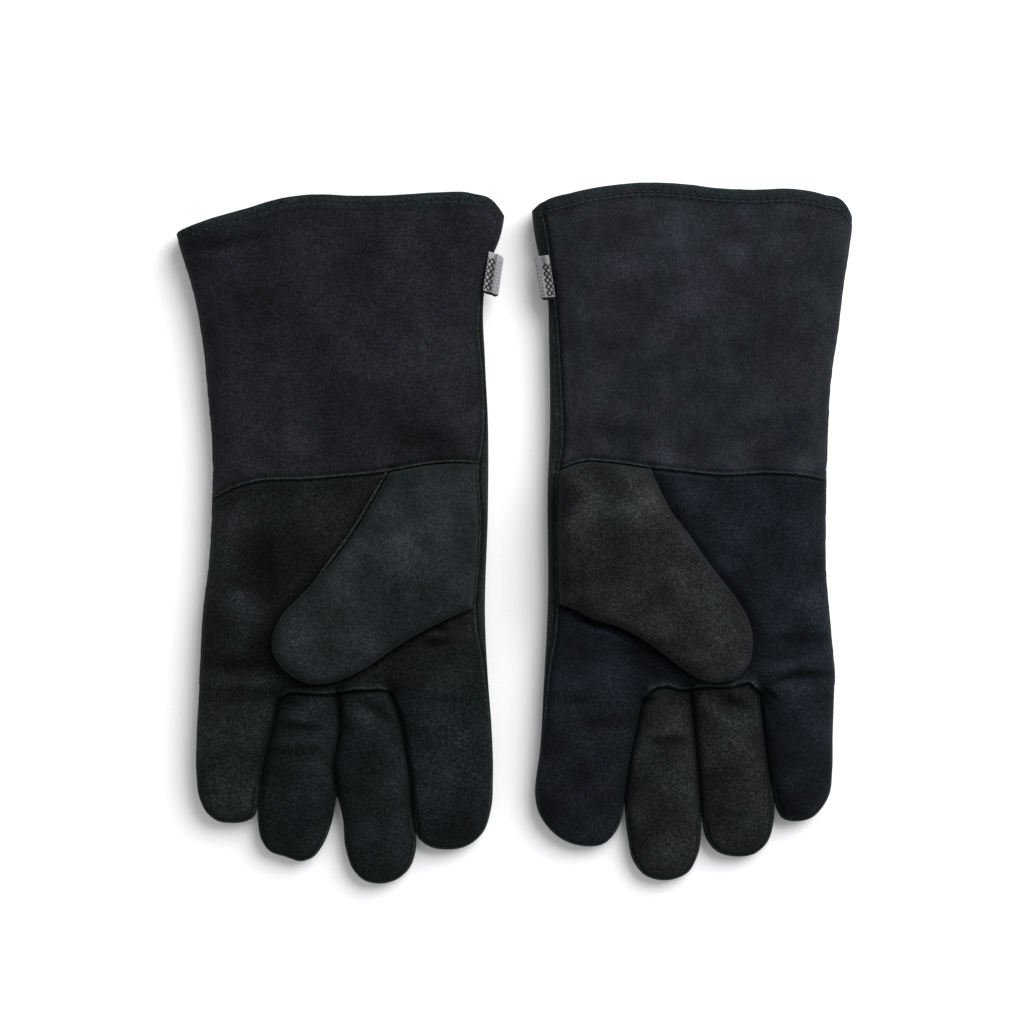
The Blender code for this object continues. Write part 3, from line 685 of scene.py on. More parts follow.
def make_mesh(name, points, faces, materials, side, looks=None, normals=None, **fields):
    """An object from millimetre points (u, v, z), turned into the frame, with fields as point attributes.

    looks holds the index of each face's material, where there is more than one.
    """
    world = np.asarray(points, float) * MM
    world[:, 0] *= side
    mesh = bpy.data.meshes.new(name)
    mesh.from_pydata(world.tolist(), [], [tuple(f) if side > 0 else tuple(f)[::-1] for f in faces])
    for material in materials:
        mesh.materials.append(material)
    if len(materials) > 1:
        mesh.polygons.foreach_set("material_index", np.asarray(looks, np.int32))
    mesh.shade_smooth()
    for key, values in {**dict.fromkeys(FIELDS, 0.0), **fields}.items():
        values = np.broadcast_to(values, len(world)).astype(np.float32)
        mesh.attributes.new(key, "FLOAT", "POINT").data.foreach_set("value", values)
    if normals is not None:
        mesh.normals_split_custom_set_from_vertices((normals * (side, 1, 1)).tolist())
    obj = bpy.data.objects.new(name, mesh)
    bpy.context.scene.collection.objects.link(obj)
    return obj


def grid_quads(ids, up):
    """Faces between rows of ids whose rows run towards +v and whose columns run towards +u."""
    a, b, c, d = ids[:-1, :-1], ids[:-1, 1:], ids[1:, 1:], ids[1:, :-1]
    return np.stack([a, b, c, d] if up else [a, d, c, b], axis=-1).reshape(-1, 4)


def closed(ids):
    """A grid of ids whose last column is its first again."""
    return np.c_[ids, ids[:, 0]]


def vertex_normals(points, quads):
    p = points[quads]
    face = np.cross(p[:, 2] - p[:, 0], p[:, 3] - p[:, 1])
    total = np.zeros_like(points)
    for k in range(4):
        np.add.at(total, quads[:, k], face)
    return total / np.maximum(np.linalg.norm(total, axis=1, keepdims=True), 1e-9)


def without_doubles(quads):
    """Quads as lists, with the corners that coincide at a fingertip left out, and which quads remain."""
    faces, kept = [], []
    for k, quad in enumerate(quads.tolist()):
        corners = [c for i, c in enumerate(quad) if c != quad[i - 1]]
        if len(corners) > 2:
            faces.append(corners)
            kept.append(k)
    return faces, kept


def round_cord(middle, across, up, radius, sides, first=0):
    """Points and faces of a cord along its middle line, closed at both ends, with ids from first on."""
    angle = (np.arange(sides) * math.tau / sides)[None, :, None]
    ring = across[:, None] * np.cos(angle) + up[:, None] * np.sin(angle)
    points = (middle[:, None] + ring * radius[:, None, None]).reshape(-1, 3)
    ids = first + np.arange(len(points)).reshape(-1, sides)
    ends = [ids[0].tolist(), ids[-1].tolist()[::-1]]
    return points, grid_quads(closed(ids), False).tolist() + ends


def welt(name, line, radius, material, side, seed, wobble=0.10, thin_end=0.0, sides=WELT_SIDES):
    """A cord of leather along (u, v, z) points, a little uneven. It may thin over the last of its length."""
    tangent = directions(line)
    across = np.cross(tangent, (0, 0, 1.0))
    across /= np.maximum(np.linalg.norm(across, axis=1, keepdims=True), 1e-6)
    n = len(line)
    noise = np.random.default_rng(seed).normal(size=n + 6)
    r = radius * (1 + wobble * np.convolve(noise, np.ones(4) / 2, "same")[3 : n + 3])
    if thin_end:
        r *= 0.15 + 0.85 * smooth_step(length_left(line) / thin_end)
    r[[0, -1]] *= 0.3
    points, faces = round_cord(line, across, np.cross(across, tangent), r, sides)
    # The cord is made paler all over, a painted highlight on its ridge
    return make_mesh(name, points, faces, [material], side, nap=WELT_PAINTED_HIGHLIGHT)


def stitches(name, line, material, side):
    """A row of separate thread stitches that lie on a surface along (u, v, z) points."""
    s = lengths(line)
    sides, rings = 6, 5
    up = np.tile((0, 0, 1.0), (rings, 1))
    bow = np.sin(np.linspace(0, math.pi, rings))
    points, faces = [], []
    for start in np.arange(0.6, s[-1] - STITCH_LENGTH, STITCH_LENGTH + STITCH_GAP):
        middle = at_lengths(line, start + np.linspace(0, STITCH_LENGTH, rings))
        tangent = (middle[-1] - middle[0]) / np.linalg.norm(middle[-1] - middle[0])
        middle = middle + up * (STITCH_RADIUS * (0.9 * bow - 0.2))[:, None]
        radius = STITCH_RADIUS * (0.45 + 0.55 * bow)
        stitch = round_cord(middle, np.cross(tangent, up), up, radius, sides, len(points) * sides * rings)
        points.append(stitch[0])
        faces += stitch[1]
    return make_mesh(name, np.concatenate(points), faces, [material], side)


# ------------------------------ a glove's leather

# Looks of the faces outside the side seam, which ends on the index finger, and outside the fingertips' seams
STRIP_LOOK, RIM_LOOK = 1, 2
INDEX_STRIP_END = -118

# How far in from the outline the domes go on rising, and how much further on the cuff
FINGER_REACH, HAND_REACH, MORE_ON_CUFF = 17.0, 19.0, 10.0
BACK_REACH, MORE_ON_BACK_CUFF = 13.0, 8

# How much the cuff rises to its mouth, how much the side seams and the fingers sink to the tips, and dents
MOUTH_RISE = 5.0
SEAM_SINKS, FINGER_SINKS = 4.5, 2.2
DENTS = dict(shortest=7, longest=18, count=20)
DENT_HEIGHT = 0.10

# Where the stitched tips start, from the end of each finger
TIP_LENGTH = 26


def puckers(along, rate, sway, slow):
    """An uneven wave along a seam."""
    return np.sin(along * rate + sway * np.sin(along * slow))


class Relief:
    """What seams, creases and the hem do to the palm side: height, a painted teal highlight, and painted
    shade.
    """

    def __init__(self, skin, points, near):
        self.skin, self.points, self.near = skin, points, near
        self.u, self.v = points.T
        self.height = np.zeros(len(points))
        # Painted highlight along the outline's edge
        self.seam = 0.12 * bell(near, 1.5)
        self.fold = np.zeros(len(points))
        self.finger_gap_shade()
        self.side_seam()
        self.wrist_seam()
        self.knuckle_seam()
        self.fingertips()
        for crease in skin.data["creases"]:
            self.crease(*crease)
        self.thumb_shade(*skin.data["shade"])
        self.hem()
        self.height *= np.clip(near / 1.5, 0, 1)
        self.fold = np.clip(self.fold, 0, 1)

    def ridge(self, distance, at, height, width):
        """A ridge beside a line, or a groove where its height is negative."""
        self.height += height * bell(distance - at, width)

    # Painted highlight: the share of teal where the raised nap would catch the light
    def paint_highlight(self, amount):
        self.seam = np.maximum(self.seam, amount)

    # Painted shade: how far the colour goes towards near black in folds, grooves and gaps
    def paint_shade(self, amount):
        self.fold = np.maximum(self.fold, amount)

    def from_seam(self, name, line):
        """Distance from a seam that runs across, positive towards the cuff, and the length along it."""
        q, along = distance_along(self.points, self.skin.lines[name])
        return np.where(self.v >= line(self.u), q, -q), along

    # Painted shade in the gaps between the fingers
    def finger_gap_shade(self):
        for left, _ in self.skin.sides[1:]:
            q, _ = distance_along(self.points, evenly(left[left[:, 1] > -150], 1.0))
            self.paint_shade(1.4 * bell(q, 1.5) + 0.3 * bell(q, 5.0))

    def side_seam(self):
        q, along = distance_along(self.points, self.skin.lines["side"])
        shown = 1 - smooth_step((self.v - self.skin.data["seam_end"] + 6) / 12)
        self.ridge(q, at=3.2, height=0.35 * shown, width=1.8)
        self.ridge(q, at=0, height=-1.5 * shown, width=1.25)
        ruffle = puckers(along, 0.8, 2, 0.21)
        self.ridge(q, at=0, height=0.10 * shown * ruffle * (1 - bell(q, 1.3)), width=4)
        # Painted highlight on the seam, and painted shade in the groove beside it
        self.paint_highlight(shown * 0.6 * bell(q, 0.9))
        self.paint_shade(shown * 0.9 * bell(q - 1.3, 0.55))

    def wrist_seam(self):
        q, along = self.from_seam("wrist", self.skin.wrist)
        self.ridge(q, at=-0.75, height=-1.5, width=0.85)
        self.ridge(q, at=1.3, height=-0.7, width=0.7)
        self.ridge(q, at=-3.0, height=0.55, width=1.7)
        self.ridge(q, at=3.5, height=0.25, width=2.0)
        ruffle = puckers(along, 0.9, 2.2, 0.23) + 0.6 * np.sin(along * 1.9)
        self.ridge(q, at=0, height=0.16 * ruffle * (1 - bell(q, 1.3)), width=5.0)
        # Painted highlight on the seam, and painted shade in the groove on the hand's side
        self.paint_highlight(0.6 * bell(q - 0.1, 0.9))
        self.paint_shade(0.9 * bell(q + 0.95, 0.6))

    def knuckle_seam(self):
        q, along = self.from_seam("base", self.skin.base)
        self.ridge(q, at=-1.1, height=-2.4, width=1.0)
        self.ridge(q, at=-3.0, height=-0.9, width=2.4)
        self.ridge(q, at=1.0, height=0.6, width=1.2)
        ruffle = puckers(along, 1.05, 1.8, 0.3) + 0.7 * np.sin(along * 0.55 + 1)
        self.ridge(q, at=-4.0, height=0.42 * ruffle * (q < 0), width=3.6)
        self.ridge(q, at=2.0, height=0.16 * ruffle * (q > 0), width=2.5)
        first, _, last = self.skin.data["crotches"]
        # Painted highlight beside the piping, and painted shade in the groove on the fingers' side
        self.paint_highlight(bell(q - 0.7, self.skin.data["ridge"][1]))
        self.paint_shade(bell(q + 1.2, 1.0) * (self.u > first - 1) * (self.u < last + 1))

    def fingertips(self):
        """The leather outside the seam that runs round each fingertip, with a painted highlight, and the
        groove along that seam, with painted shade.
        """
        tips = np.zeros(len(self.points))
        for left, right in self.skin.sides:
            inside = (self.u > left[:, 0].min() - 3) & (self.u < right[:, 0].max() + 3)
            tips = np.maximum(tips, inside * smooth_step((left[:, 1].min() + TIP_LENGTH - self.v) / 12))
        self.ridge(self.near, at=RIM, height=-tips, width=0.65)
        self.paint_highlight(0.9 * tips * bell(self.near - 0.3 * RIM, 1.0))
        self.fold *= 1 - tips
        self.paint_shade(1.1 * tips * bell(self.near - RIM, 0.7))

    def crease(self, line, depth, width):
        """A fold that fades out at its ends, with a bulge on each side and painted shade along it."""
        path = spline(line, 0.8)
        q, along = distance_along(self.points, path)
        fade = np.sin((along / lengths(path)[-1] * 0.86 + 0.07) * math.pi)
        self.ridge(q, at=0, height=-depth * fade, width=width)
        self.ridge(q, at=1.9 * width, height=0.5 * depth * fade, width=1.1 * width)
        self.paint_shade(min(1, 0.55 * depth) * fade * bell(q, 0.75 * width))

    def thumb_shade(self, below, around, beside, strength):
        """The dent and the shade where the thumb lies on the palm."""
        data = self.skin.data
        low, _ = distance_along(self.points, spline([data["heel"], *data["thumb_low"]], 1.0))
        high, _ = distance_along(self.points, spline(data["thumb_high"], 1.0))
        edge, _ = distance_along(self.points, self.skin.thumb_edge)
        self.ridge(edge, at=0, height=-1.6, width=3.0)
        # Painted shade under the low edge, round the thumb, and by the high edge
        for shade in (1.4 * bell(low, below), bell(edge, around), strength * bell(high, beside)):
            self.paint_shade(shade)

    def hem(self):
        """The doubled edge of the mouth, with a painted highlight towards its edge, and a groove along each
        row of stitches, with painted shade in the first.
        """
        depth = self.skin.mouth(self.u) - self.v
        self.height += 0.7 * smooth_step((6.0 - depth) / 1.2)
        self.ridge(depth, at=3.6, height=-0.75, width=0.7)
        self.ridge(depth, at=6.6, height=-0.5, width=1.0)
        self.paint_highlight(0.45 * smooth_step((7.0 - depth) / 3.0) + 0.4 * smooth_step((2.0 - depth) / 1.5))
        self.paint_shade(0.45 * bell(depth - 3.6, 0.6) * (depth < 6))


class Skin:
    """The closed leather of one glove: its plan, its heights, and its pieces."""

    def __init__(self, name):
        self.name = name
        self.data = data = GLOVES[name]
        self.side = data["side"]
        for key in ("inner", "outer", "seam", "wrist", "base"):
            setattr(self, key, curve(data[key]))
        self.mouth = curve([(u, v - HEM_ROLL) for u, v in data["mouth"]])
        self.crotches = [np.array((u, float(self.base(u)))) for u in data["crotches"]]
        self.make_outline()
        self.lines = self.seam_lines()
        tip = (data["thumb_apex"], *data["thumb_high"][::-1], data["crest"])
        self.thumb_edge = spline((data["heel"], *data["thumb_low"], *tip), 0.4)
        self.points, self.fields, self.faces, self.looks = [], [], {}, {}
        self.build()

    # --- plan

    def root(self, edge):
        """Where the row at the fingers' roots meets a silhouette."""
        v = ROOT_V
        for _ in range(6):
            v = float(self.base(float(edge(v))))
        return np.array((float(edge(v)), v))

    def make_outline(self):
        """Each finger's outline and seam, split at the tip, and the whole glove's outline up to the mouth."""
        data = self.data
        ends = [self.root(self.inner), *self.crotches, self.root(self.outer)]
        self.sides, self.rims = [], []
        overlap = 0.12
        for i, tip_points in enumerate(data["tips"]):
            left = [(u - overlap, v) for u, v in data["sides"][i - 1]] if i else []
            right = [(u + overlap, v) for u, v in data["sides"][i]][::-1] if i < 3 else []
            line = spline([ends[i], *left, *tip_points, *right, ends[i + 1]], 0.4)
            offset = line + RIM * inward(line)
            tip = int(line[:, 1].argmin())
            self.sides.append((line[: tip + 1], line[tip:][::-1]))
            self.rims.append((offset[: tip + 1], offset[tip:][::-1]))
        rise = np.linspace(0, 300, 200)
        inner_v, outer_v = ends[0][1] + rise, ends[-1][1] + rise
        parts = [np.c_[self.inner(inner_v), inner_v][::-1]]
        for left, right in self.sides:
            parts += [left, right[::-1]]
        line = np.concatenate([*parts, np.c_[self.outer(outer_v), outer_v]])
        self.outline = line[np.r_[True, np.linalg.norm(np.diff(line, axis=0), axis=1) > 0.02]]

    def seam_lines(self):
        vs = np.linspace(-95, 176, 500)
        us = np.linspace(float(self.seam(36)), self.data["wrist"][-1][0], 300)
        first, _, last = self.data["crotches"]
        base = np.linspace(first + 0.4, last - 0.4, 120)
        return {
            "side": np.c_[self.seam(vs), vs],
            "wrist": np.c_[us, self.wrist(us)],
            "base": np.c_[base, self.base(base)],
        }

    def set_columns(self, fine):
        """Shares of the columns across: the strip outside the thumb side's seam, then four fingers' strips.

        Between each finger's rims lie its core columns, which are far apart on the back.
        """
        bounds = [0.0, *((u - self.seam(v)) / (self.outer(v) - self.seam(v)) for u, v in self.crotches), 1.0]
        width = self.outer(ROOT_V) - self.seam(ROOT_V)
        self.rim_steps = np.array((0, 0.45, 1.0) if fine else (0, 1.0))
        self.strip_steps = np.linspace(0, 1, STRIP_COLUMNS + 1 if fine else 3)
        self.strip = len(self.strip_steps) - 1
        self.cores, across, firsts = [], [], [0]
        for i, (start, end) in enumerate(zip(bounds, bounds[1:])):
            size = (end - start) * width
            left = RIM if i else 0.0
            core_size = size - left - RIM
            few = max(5, (round(core_size / COARSE) + 1) // 3)
            core = shares(core_size, 2.5) if fine else np.linspace(0, 1, few)
            self.cores.append(core)
            rim = self.rim_steps[:-1] * RIM
            place = np.concatenate([rim if i else [], left + core * core_size, size - rim[::-1]]) / size
            place[0], place[-1] = 0, 1
            across.append((start + place * (end - start))[min(i, 1) :])
            firsts.append(firsts[-1] + len(place) - 1)
        self.across = np.concatenate(across)
        self.firsts = [0, *(first + self.strip for first in firsts[1:])]

    def rows(self, low, high, steps):
        """Plan points in rows between two curves of u, settled in a few rounds from a first guess of u."""
        t = steps[:, None]
        columns = self.strip + len(self.across)
        u = np.broadcast_to(np.linspace(15, 160, columns)[None], (len(steps), columns))
        for _ in range(14):
            v = (1 - t) * low(u) + t * high(u)
            inner, seam, outer = self.inner(v), self.seam(v), self.outer(v)
            strip = inner[:, : self.strip] + (seam - inner)[:, : self.strip] * self.strip_steps[None, :-1]
            rest = seam[:, self.strip :] + (outer - seam)[:, self.strip :] * self.across[None]
            u = np.concatenate([strip, rest], axis=1)
        return np.stack([u, v], axis=2)

    def finger_rows(self, i, first_row, steps):
        """Plan points in rows from a finger's root to its tip."""
        left, right = (resample(line, steps)[:, None] for line in self.sides[i])
        rim_left, rim_right = (resample(line, steps)[:, None] for line in self.rims[i])
        core = self.cores[i][None, :, None]
        inner_steps = (self.rim_steps if i else self.strip_steps)[:-1][None, :, None]
        outer_steps = self.rim_steps[:-1][::-1][None, :, None]
        if i == 0:
            v = left[..., 1]
            narrow = smooth_step((-95 - v) / 20) * (1 - smooth_step((INDEX_STRIP_END - v) / 22))
            rim_left = left + (rim_left - left) * (1 - 0.62 * narrow[..., None])
        rows = np.concatenate([
            left + (rim_left - left) * inner_steps,
            rim_left + (rim_right - rim_left) * core,
            right + (rim_right - right) * outer_steps,
        ], axis=1)
        fade = np.clip(1 - steps / 0.16, 0, 1)[:, None, None] ** 2
        return rows + (first_row - rows[0])[None] * fade

    # --- heights, painted highlight and painted shade

    def from_edge(self, points, at_edge):
        """Distance in from the outline, which is nothing at the network's own edges."""
        return np.where(at_edge, 0, soft_distance(points, self.outline))

    def level(self, points):
        """Height of the outline's seams, which comes down towards the fingertips."""
        return SEAM - SEAM_SINKS * smooth_step((-105 - points[:, 1]) / 65)

    def palm_side(self, points, at_edge=False):
        """The palm side's height, painted highlight and painted shade at plan points."""
        v = points[:, 1]
        near = self.from_edge(points, at_edge)
        on_hand = smooth_step((v + 105) / 40)
        on_cuff = smooth_step((v - 20) / 60)
        mouth = np.clip((v - WRIST) / 120, 0, 1)
        finger_rise = FINGER_TOP - SEAM + 0.4 - FINGER_SINKS * smooth_step((-95 - v) / 75)
        rise = finger_rise * (1 - on_hand) + (HAND_TOP - SEAM) * on_hand + MOUTH_RISE * mouth**1.5
        reach = FINGER_REACH * (1 - on_hand) + HAND_REACH * on_hand + MORE_ON_CUFF * on_cuff
        body = np.clip(near / 9, 0, 1)
        relief = Relief(self, points, near)
        height = dome(near / reach, 2.15) * rise
        height += (0.45 + 0.25 * on_cuff) * waves(points, SEEDS["body"] + self.side, 26, 100) * body
        height += DENT_HEIGHT * waves(points, SEEDS["dents"] + self.side, **DENTS) * body
        height += relief.height
        return self.level(points) + np.maximum(height, 0) * (near > 1e-9), relief.seam, relief.fold

    def top(self, points):
        return self.palm_side(points)[0]

    def back_side(self, points, at_edge=False):
        """The back's height, painted highlight and painted shade at plan points. It lies on the surface in
        its middle.
        """
        near = self.from_edge(points, at_edge)
        up = smooth_step((points[:, 1] - WRIST) / 120)
        level = self.level(points)
        drop = dome(near / (BACK_REACH + MORE_ON_BACK_CUFF * up), 2.4) * level
        lift = 0.5 * (waves(points, SEEDS["back"] + self.side, 30, 120) + 1.0) * np.clip(near / 12, 0, 1)
        q, _ = distance_along(points, self.lines["wrist"])
        sewn = 0.9 * bell(q, 1.2) * np.clip(near / 3, 0, 1)
        height = np.maximum(level - drop + np.maximum(lift, 0) * (0.25 + 1.8 * up**3) + sewn, 0.02)
        # Painted highlight at the edge and on the wrist seam, and painted shade at the edge
        return height, np.maximum(0.12 * bell(near, 1.5), 0.4 * bell(q, 1.3)), 0.5 * bell(near, 1.5)

    def nap(self, points):
        """How pale the leather is, from dark to light: a gentle drift of the nap, and painted light and shade
        in the listed patches and bands.
        """
        total = 0.3 * waves(points, SEEDS["nap"] + self.side, 18, 70) * (1 - 0.5 * (points[:, 1] > WRIST))
        # Painted light and shade: paler where the leather would face the light, darker where it would lie in
        # shade
        for u, v, radius, tone in self.data["nap"]:
            total += tone * bell(np.hypot(points[:, 0] - u, points[:, 1] - v), radius)
        for line, width, tone in self.data["bands"]:
            path = spline(line, 1.0)
            q, along = distance_along(points, path)
            fade = np.sin((along / lengths(path)[-1] * 0.8 + 0.1) * math.pi)
            total += tone * fade * bell(q, width)
        return np.clip(total, -1.3, 1.3)

    # --- the network

    def build(self):
        """Lays out the palm side's network, then the back's on the same edges, and shares out its faces."""
        front = self.lay(True, self.palm_side)
        looks = self.palm_looks()
        back = self.lay(False, self.back_side, front)
        self.grids = {"front": front, "back": back}
        for part, piece in (("hand", "palm_skin"), ("cuff", "cuff_front_skin")):
            self.share(piece, front[part], True, looks[part])
        for finger in FINGERS:
            self.share(f"{finger}_front_skin", front[finger][::-1], True, looks[finger][::-1])
        for part, piece in (("hand", "back_skin"), ("cuff", "cuff_back_skin")):
            self.share(piece, back[part], False)
        for finger in FINGERS:
            self.share(f"{finger}_back_skin", back[finger][::-1], False)
        self.points = np.concatenate(self.points)
        self.fields = np.concatenate(self.fields)
        self.normals = vertex_normals(self.points, np.concatenate(list(self.faces.values())))

    def lay(self, fine, surface, front=None):
        """One side's grids of ids: hand, cuff and fingers. The back takes its edges' ids from the front's."""
        self.set_columns(fine)
        self.plans = {
            "hand": self.rows(self.base, self.wrist, shares(HAND_LENGTH)),
            "cuff": self.rows(self.wrist, self.mouth, shares(CUFF_LENGTH)),
        }
        given = self.edge_ids("hand", front)
        if front:
            for k in (1, 2, 3):
                given[0, self.firsts[k]] = front["hand"][0, front["firsts"][k]]
        hand = self.layer("hand", surface, given)
        given = self.edge_ids("cuff", front)
        given[0] = hand[-1]
        grids = {"firsts": self.firsts, "hand": hand, "cuff": self.layer("cuff", surface, given)}
        rim = len(self.rim_steps) - 1
        for i, finger in enumerate(FINGERS):
            columns = slice(self.firsts[i], self.firsts[i + 1] + 1)
            steps = shares(lengths(self.sides[i][0])[-1], 3.0)
            self.plans[finger] = self.finger_rows(i, self.plans["hand"][0, columns], steps)
            given = self.edge_ids(finger, front)
            given[0] = hand[0, columns]
            grids[finger] = self.layer(finger, surface, given)
            self.close_tip(grids[finger][-1], rim if i else self.strip, rim)
        return grids

    def edge_ids(self, part, front):
        """Ids that a grid's two edges take from the front's grid, and -1 where a vertex is still to make."""
        ids = np.full(self.plans[part].shape[:2], -1)
        if front:
            ids[:, [0, -1]] = front[part][:, [0, -1]]
        return ids

    def layer(self, part, surface, given):
        """Adds vertices for a part's plan points, except where given holds an id, and returns all ids."""
        flat = self.plans[part].reshape(-1, 2)
        at_edge = np.zeros(given.shape, bool)
        at_edge[:, [0, -1]] = True
        height, seam, fold = surface(flat, at_edge.reshape(-1))
        ids = given.reshape(-1)
        new = ids < 0
        first = sum(len(p) for p in self.points)
        ids[new] = np.arange(first, first + new.sum())
        self.points.append(np.c_[flat, height][new])
        self.fields.append(np.c_[seam, self.nap(flat), fold][new])
        return ids.reshape(given.shape)

    def close_tip(self, row, rim_left, rim_right):
        """Folds the last row at the tip, so that its left and right halves are the same vertices."""
        row[rim_left : len(row) - rim_right] = row[rim_left]
        take = np.linspace(0, rim_left, rim_right + 1).round().astype(int)[:-1]
        row[len(row) - rim_right :] = row[take][::-1]

    def palm_looks(self):
        """Which look each face of the palm side has: its part's own, the strip's, or the rim's."""
        strip, rim = self.strip, len(self.rim_steps) - 1
        looks = {part: np.zeros(np.subtract(plan.shape[:2], 1), int) for part, plan in self.plans.items()}
        looks["hand"][:, :strip] = STRIP_LOOK
        below_end = self.plans["cuff"][1:, 1 : strip + 1, 1] < self.data["seam_end"]
        looks["cuff"][:, :strip] = STRIP_LOOK * below_end
        for i, finger in enumerate(FINGERS):
            look, plan = looks[finger], self.plans[finger]
            v = (plan[:-1, :-1, 1] + plan[1:, 1:, 1]) / 2
            look[:, : rim if i else strip] = look[:, -rim:] = RIM_LOOK
            look *= v < self.sides[i][0][:, 1].min() + RIM_LENGTH
            if i == 0:
                look[:, :strip] = np.where(v[:, :strip] > INDEX_STRIP_END, STRIP_LOOK, RIM_LOOK)
        return looks

    def share(self, piece, ids, up, looks=None):
        """Gives a grid's faces to a piece."""
        self.faces[piece] = grid_quads(ids, up)
        self.looks[piece] = np.zeros(len(self.faces[piece]), int) if looks is None else looks.reshape(-1)

    def piece(self, name, looks):
        """Makes one object from its share of the network, with the whole network's normals at its edges."""
        faces, kept = without_doubles(self.faces[name])
        used = sorted({c for face in faces for c in face})
        place = {c: k for k, c in enumerate(used)}
        faces = [[place[c] for c in face] for face in faces]
        materials = [SUEDE[self.name, look] for look in looks]
        fields = dict(zip(FIELDS, self.fields[used].T))
        return make_mesh(f"{self.name}_{name}", self.points[used], faces, materials, self.side,
                         self.looks[name][kept], self.normals[used], **fields)


# ------------------------------ hem, lining, label

LINING_STEP = 3
HEM_SHARE = 12
LABEL_THICKNESS = 0.45
LABEL_CORNER = 1.4
LABEL_RISE = 8.0


def ring_of(skin, row):
    """Ids round the cuff at a row from the mouth: along the palm side, then back along the back."""
    return np.r_[skin.grids["front"]["cuff"][row], skin.grids["back"]["cuff"][row][-2:0:-1]]


def hem(skin):
    """The mouth's edge: the leather rolls over and goes down inside, where the lining meets it."""
    ids = ring_of(skin, -1)
    edge, normal = skin.points[ids], skin.normals[ids]
    down = skin.points[ring_of(skin, -4)] - edge
    down[:, 2] = 0
    down /= np.linalg.norm(down, axis=1, keepdims=True)
    rows = [edge - down * HEM_ROLL * math.sin(a) - normal * HEM_ROLL * (1 - math.cos(a))
            for a in np.linspace(0, 2.9, 9)]
    # Painted highlight: strong on the rolled edge, weaker on the leather inside
    seam = [0.7] * len(rows)
    for row, inset in ((-4, 3.0), (-8, 3.6), (-12, 3.8), (-14, 3.8), (-15, 1.6)):
        ring = ring_of(skin, row)
        rows.append(skin.points[ring] - skin.normals[ring] * inset)
        seam.append(0.2)
    count = len(ids)
    grid = np.arange(len(rows) * count).reshape(-1, count)
    nap = np.tile(skin.fields[ids, FIELDS.index("nap")], len(rows))
    return make_mesh(f"{skin.name}_hem", np.concatenate(rows), grid_quads(closed(grid), True).tolist(),
                     [SUEDE[skin.name, "cuff"]], skin.side, seam=np.repeat(seam, count), nap=nap)


def lining(skin, part, inset, step=LINING_STEP):
    """The cotton bag inside one part of the leather, a little way in from it all round."""
    front, back = skin.grids["front"][part], skin.grids["back"][part]
    rows, columns = (np.unique(np.r_[:count:step, count - 1]) for count in front.shape)
    if part == "cuff":
        rows = rows[rows < len(front) - HEM_SHARE]
    loops = closed(np.concatenate([front[rows][:, columns], back[rows][:, -2:0:-1]], axis=1))
    used, inverse = np.unique(loops, return_inverse=True)
    faces, _ = without_doubles(grid_quads(inverse.reshape(loops.shape), part not in ("hand", "cuff")))
    points = skin.points[used] - skin.normals[used] * inset
    return make_mesh(f"{skin.name}_{part}_inner", points, faces, [LINING], skin.side)


def label_profile(width):
    """The folded tape seen from its end: out along the top, round the fold and back, as (x, z)."""
    flat, turn = np.linspace(0, width - LABEL_THICKNESS, 16), np.linspace(1.2, -1.2, 7)
    fold = np.c_[flat[-1] + LABEL_THICKNESS * np.cos(turn), LABEL_THICKNESS * np.sin(turn)]
    top = np.c_[flat, np.full(len(flat), LABEL_THICKNESS)]
    return np.concatenate([top, fold, (top * (1, -1))[::-1]])


def label(skin):
    """A folded tab of woven tape, sewn over the cuff's thumb side."""
    top, low, out = (np.array(p, float) for p in skin.data["label"])
    along, out = top - low, out - low
    length, width = np.linalg.norm(along), np.linalg.norm(out)
    out /= width
    profile = label_profile(width)
    x, z = profile.T
    points, across, lengthwise = [], [], []
    for t in np.linspace(0, 1, 19):
        at_corner = max(0, abs(t - 0.5) * 2 - 0.88) / 0.12
        reach = np.minimum(x, width - LABEL_CORNER * (1 - math.sqrt(1 - at_corner**2)))
        plan = low + along * t + out * reach[:, None]
        over_seam = SEAM + LABEL_RISE - 0.5 * x + 0.3 * math.sin(t * 5 + 0.6)
        over_leather = np.where(x < 5.5, skin.top(plan) + 1.0, 0)
        points.append(np.c_[plan, np.maximum(over_seam, over_leather) + z])
        across.append(x)
        lengthwise.append(np.full(len(x), t * length))
    grid = np.arange(len(points) * len(x)).reshape(-1, len(x))
    faces = grid_quads(closed(grid), True).tolist() + [grid[0].tolist()[::-1], grid[-1].tolist()]
    return make_mesh(f"{skin.name}_tab", np.concatenate(points), faces, [TAPE], skin.side,
                     across=np.concatenate(across), along=np.concatenate(lengthwise))


# ------------------------------ the thumb

THUMB_WIDTH = 72.0
THUMB_LINING = 2.4
UNDERSIDE_START = -26
THUMB_REACH, UNDERSIDE_REACH = 15.0, 9.0
CLEARANCE = 0.4


def tip_grid(rows, columns):
    """Ids of a grid whose last row is a single vertex."""
    ids = np.arange(rows * columns).reshape(rows, columns)
    ids[-1] = ids[-1, 0]
    return ids


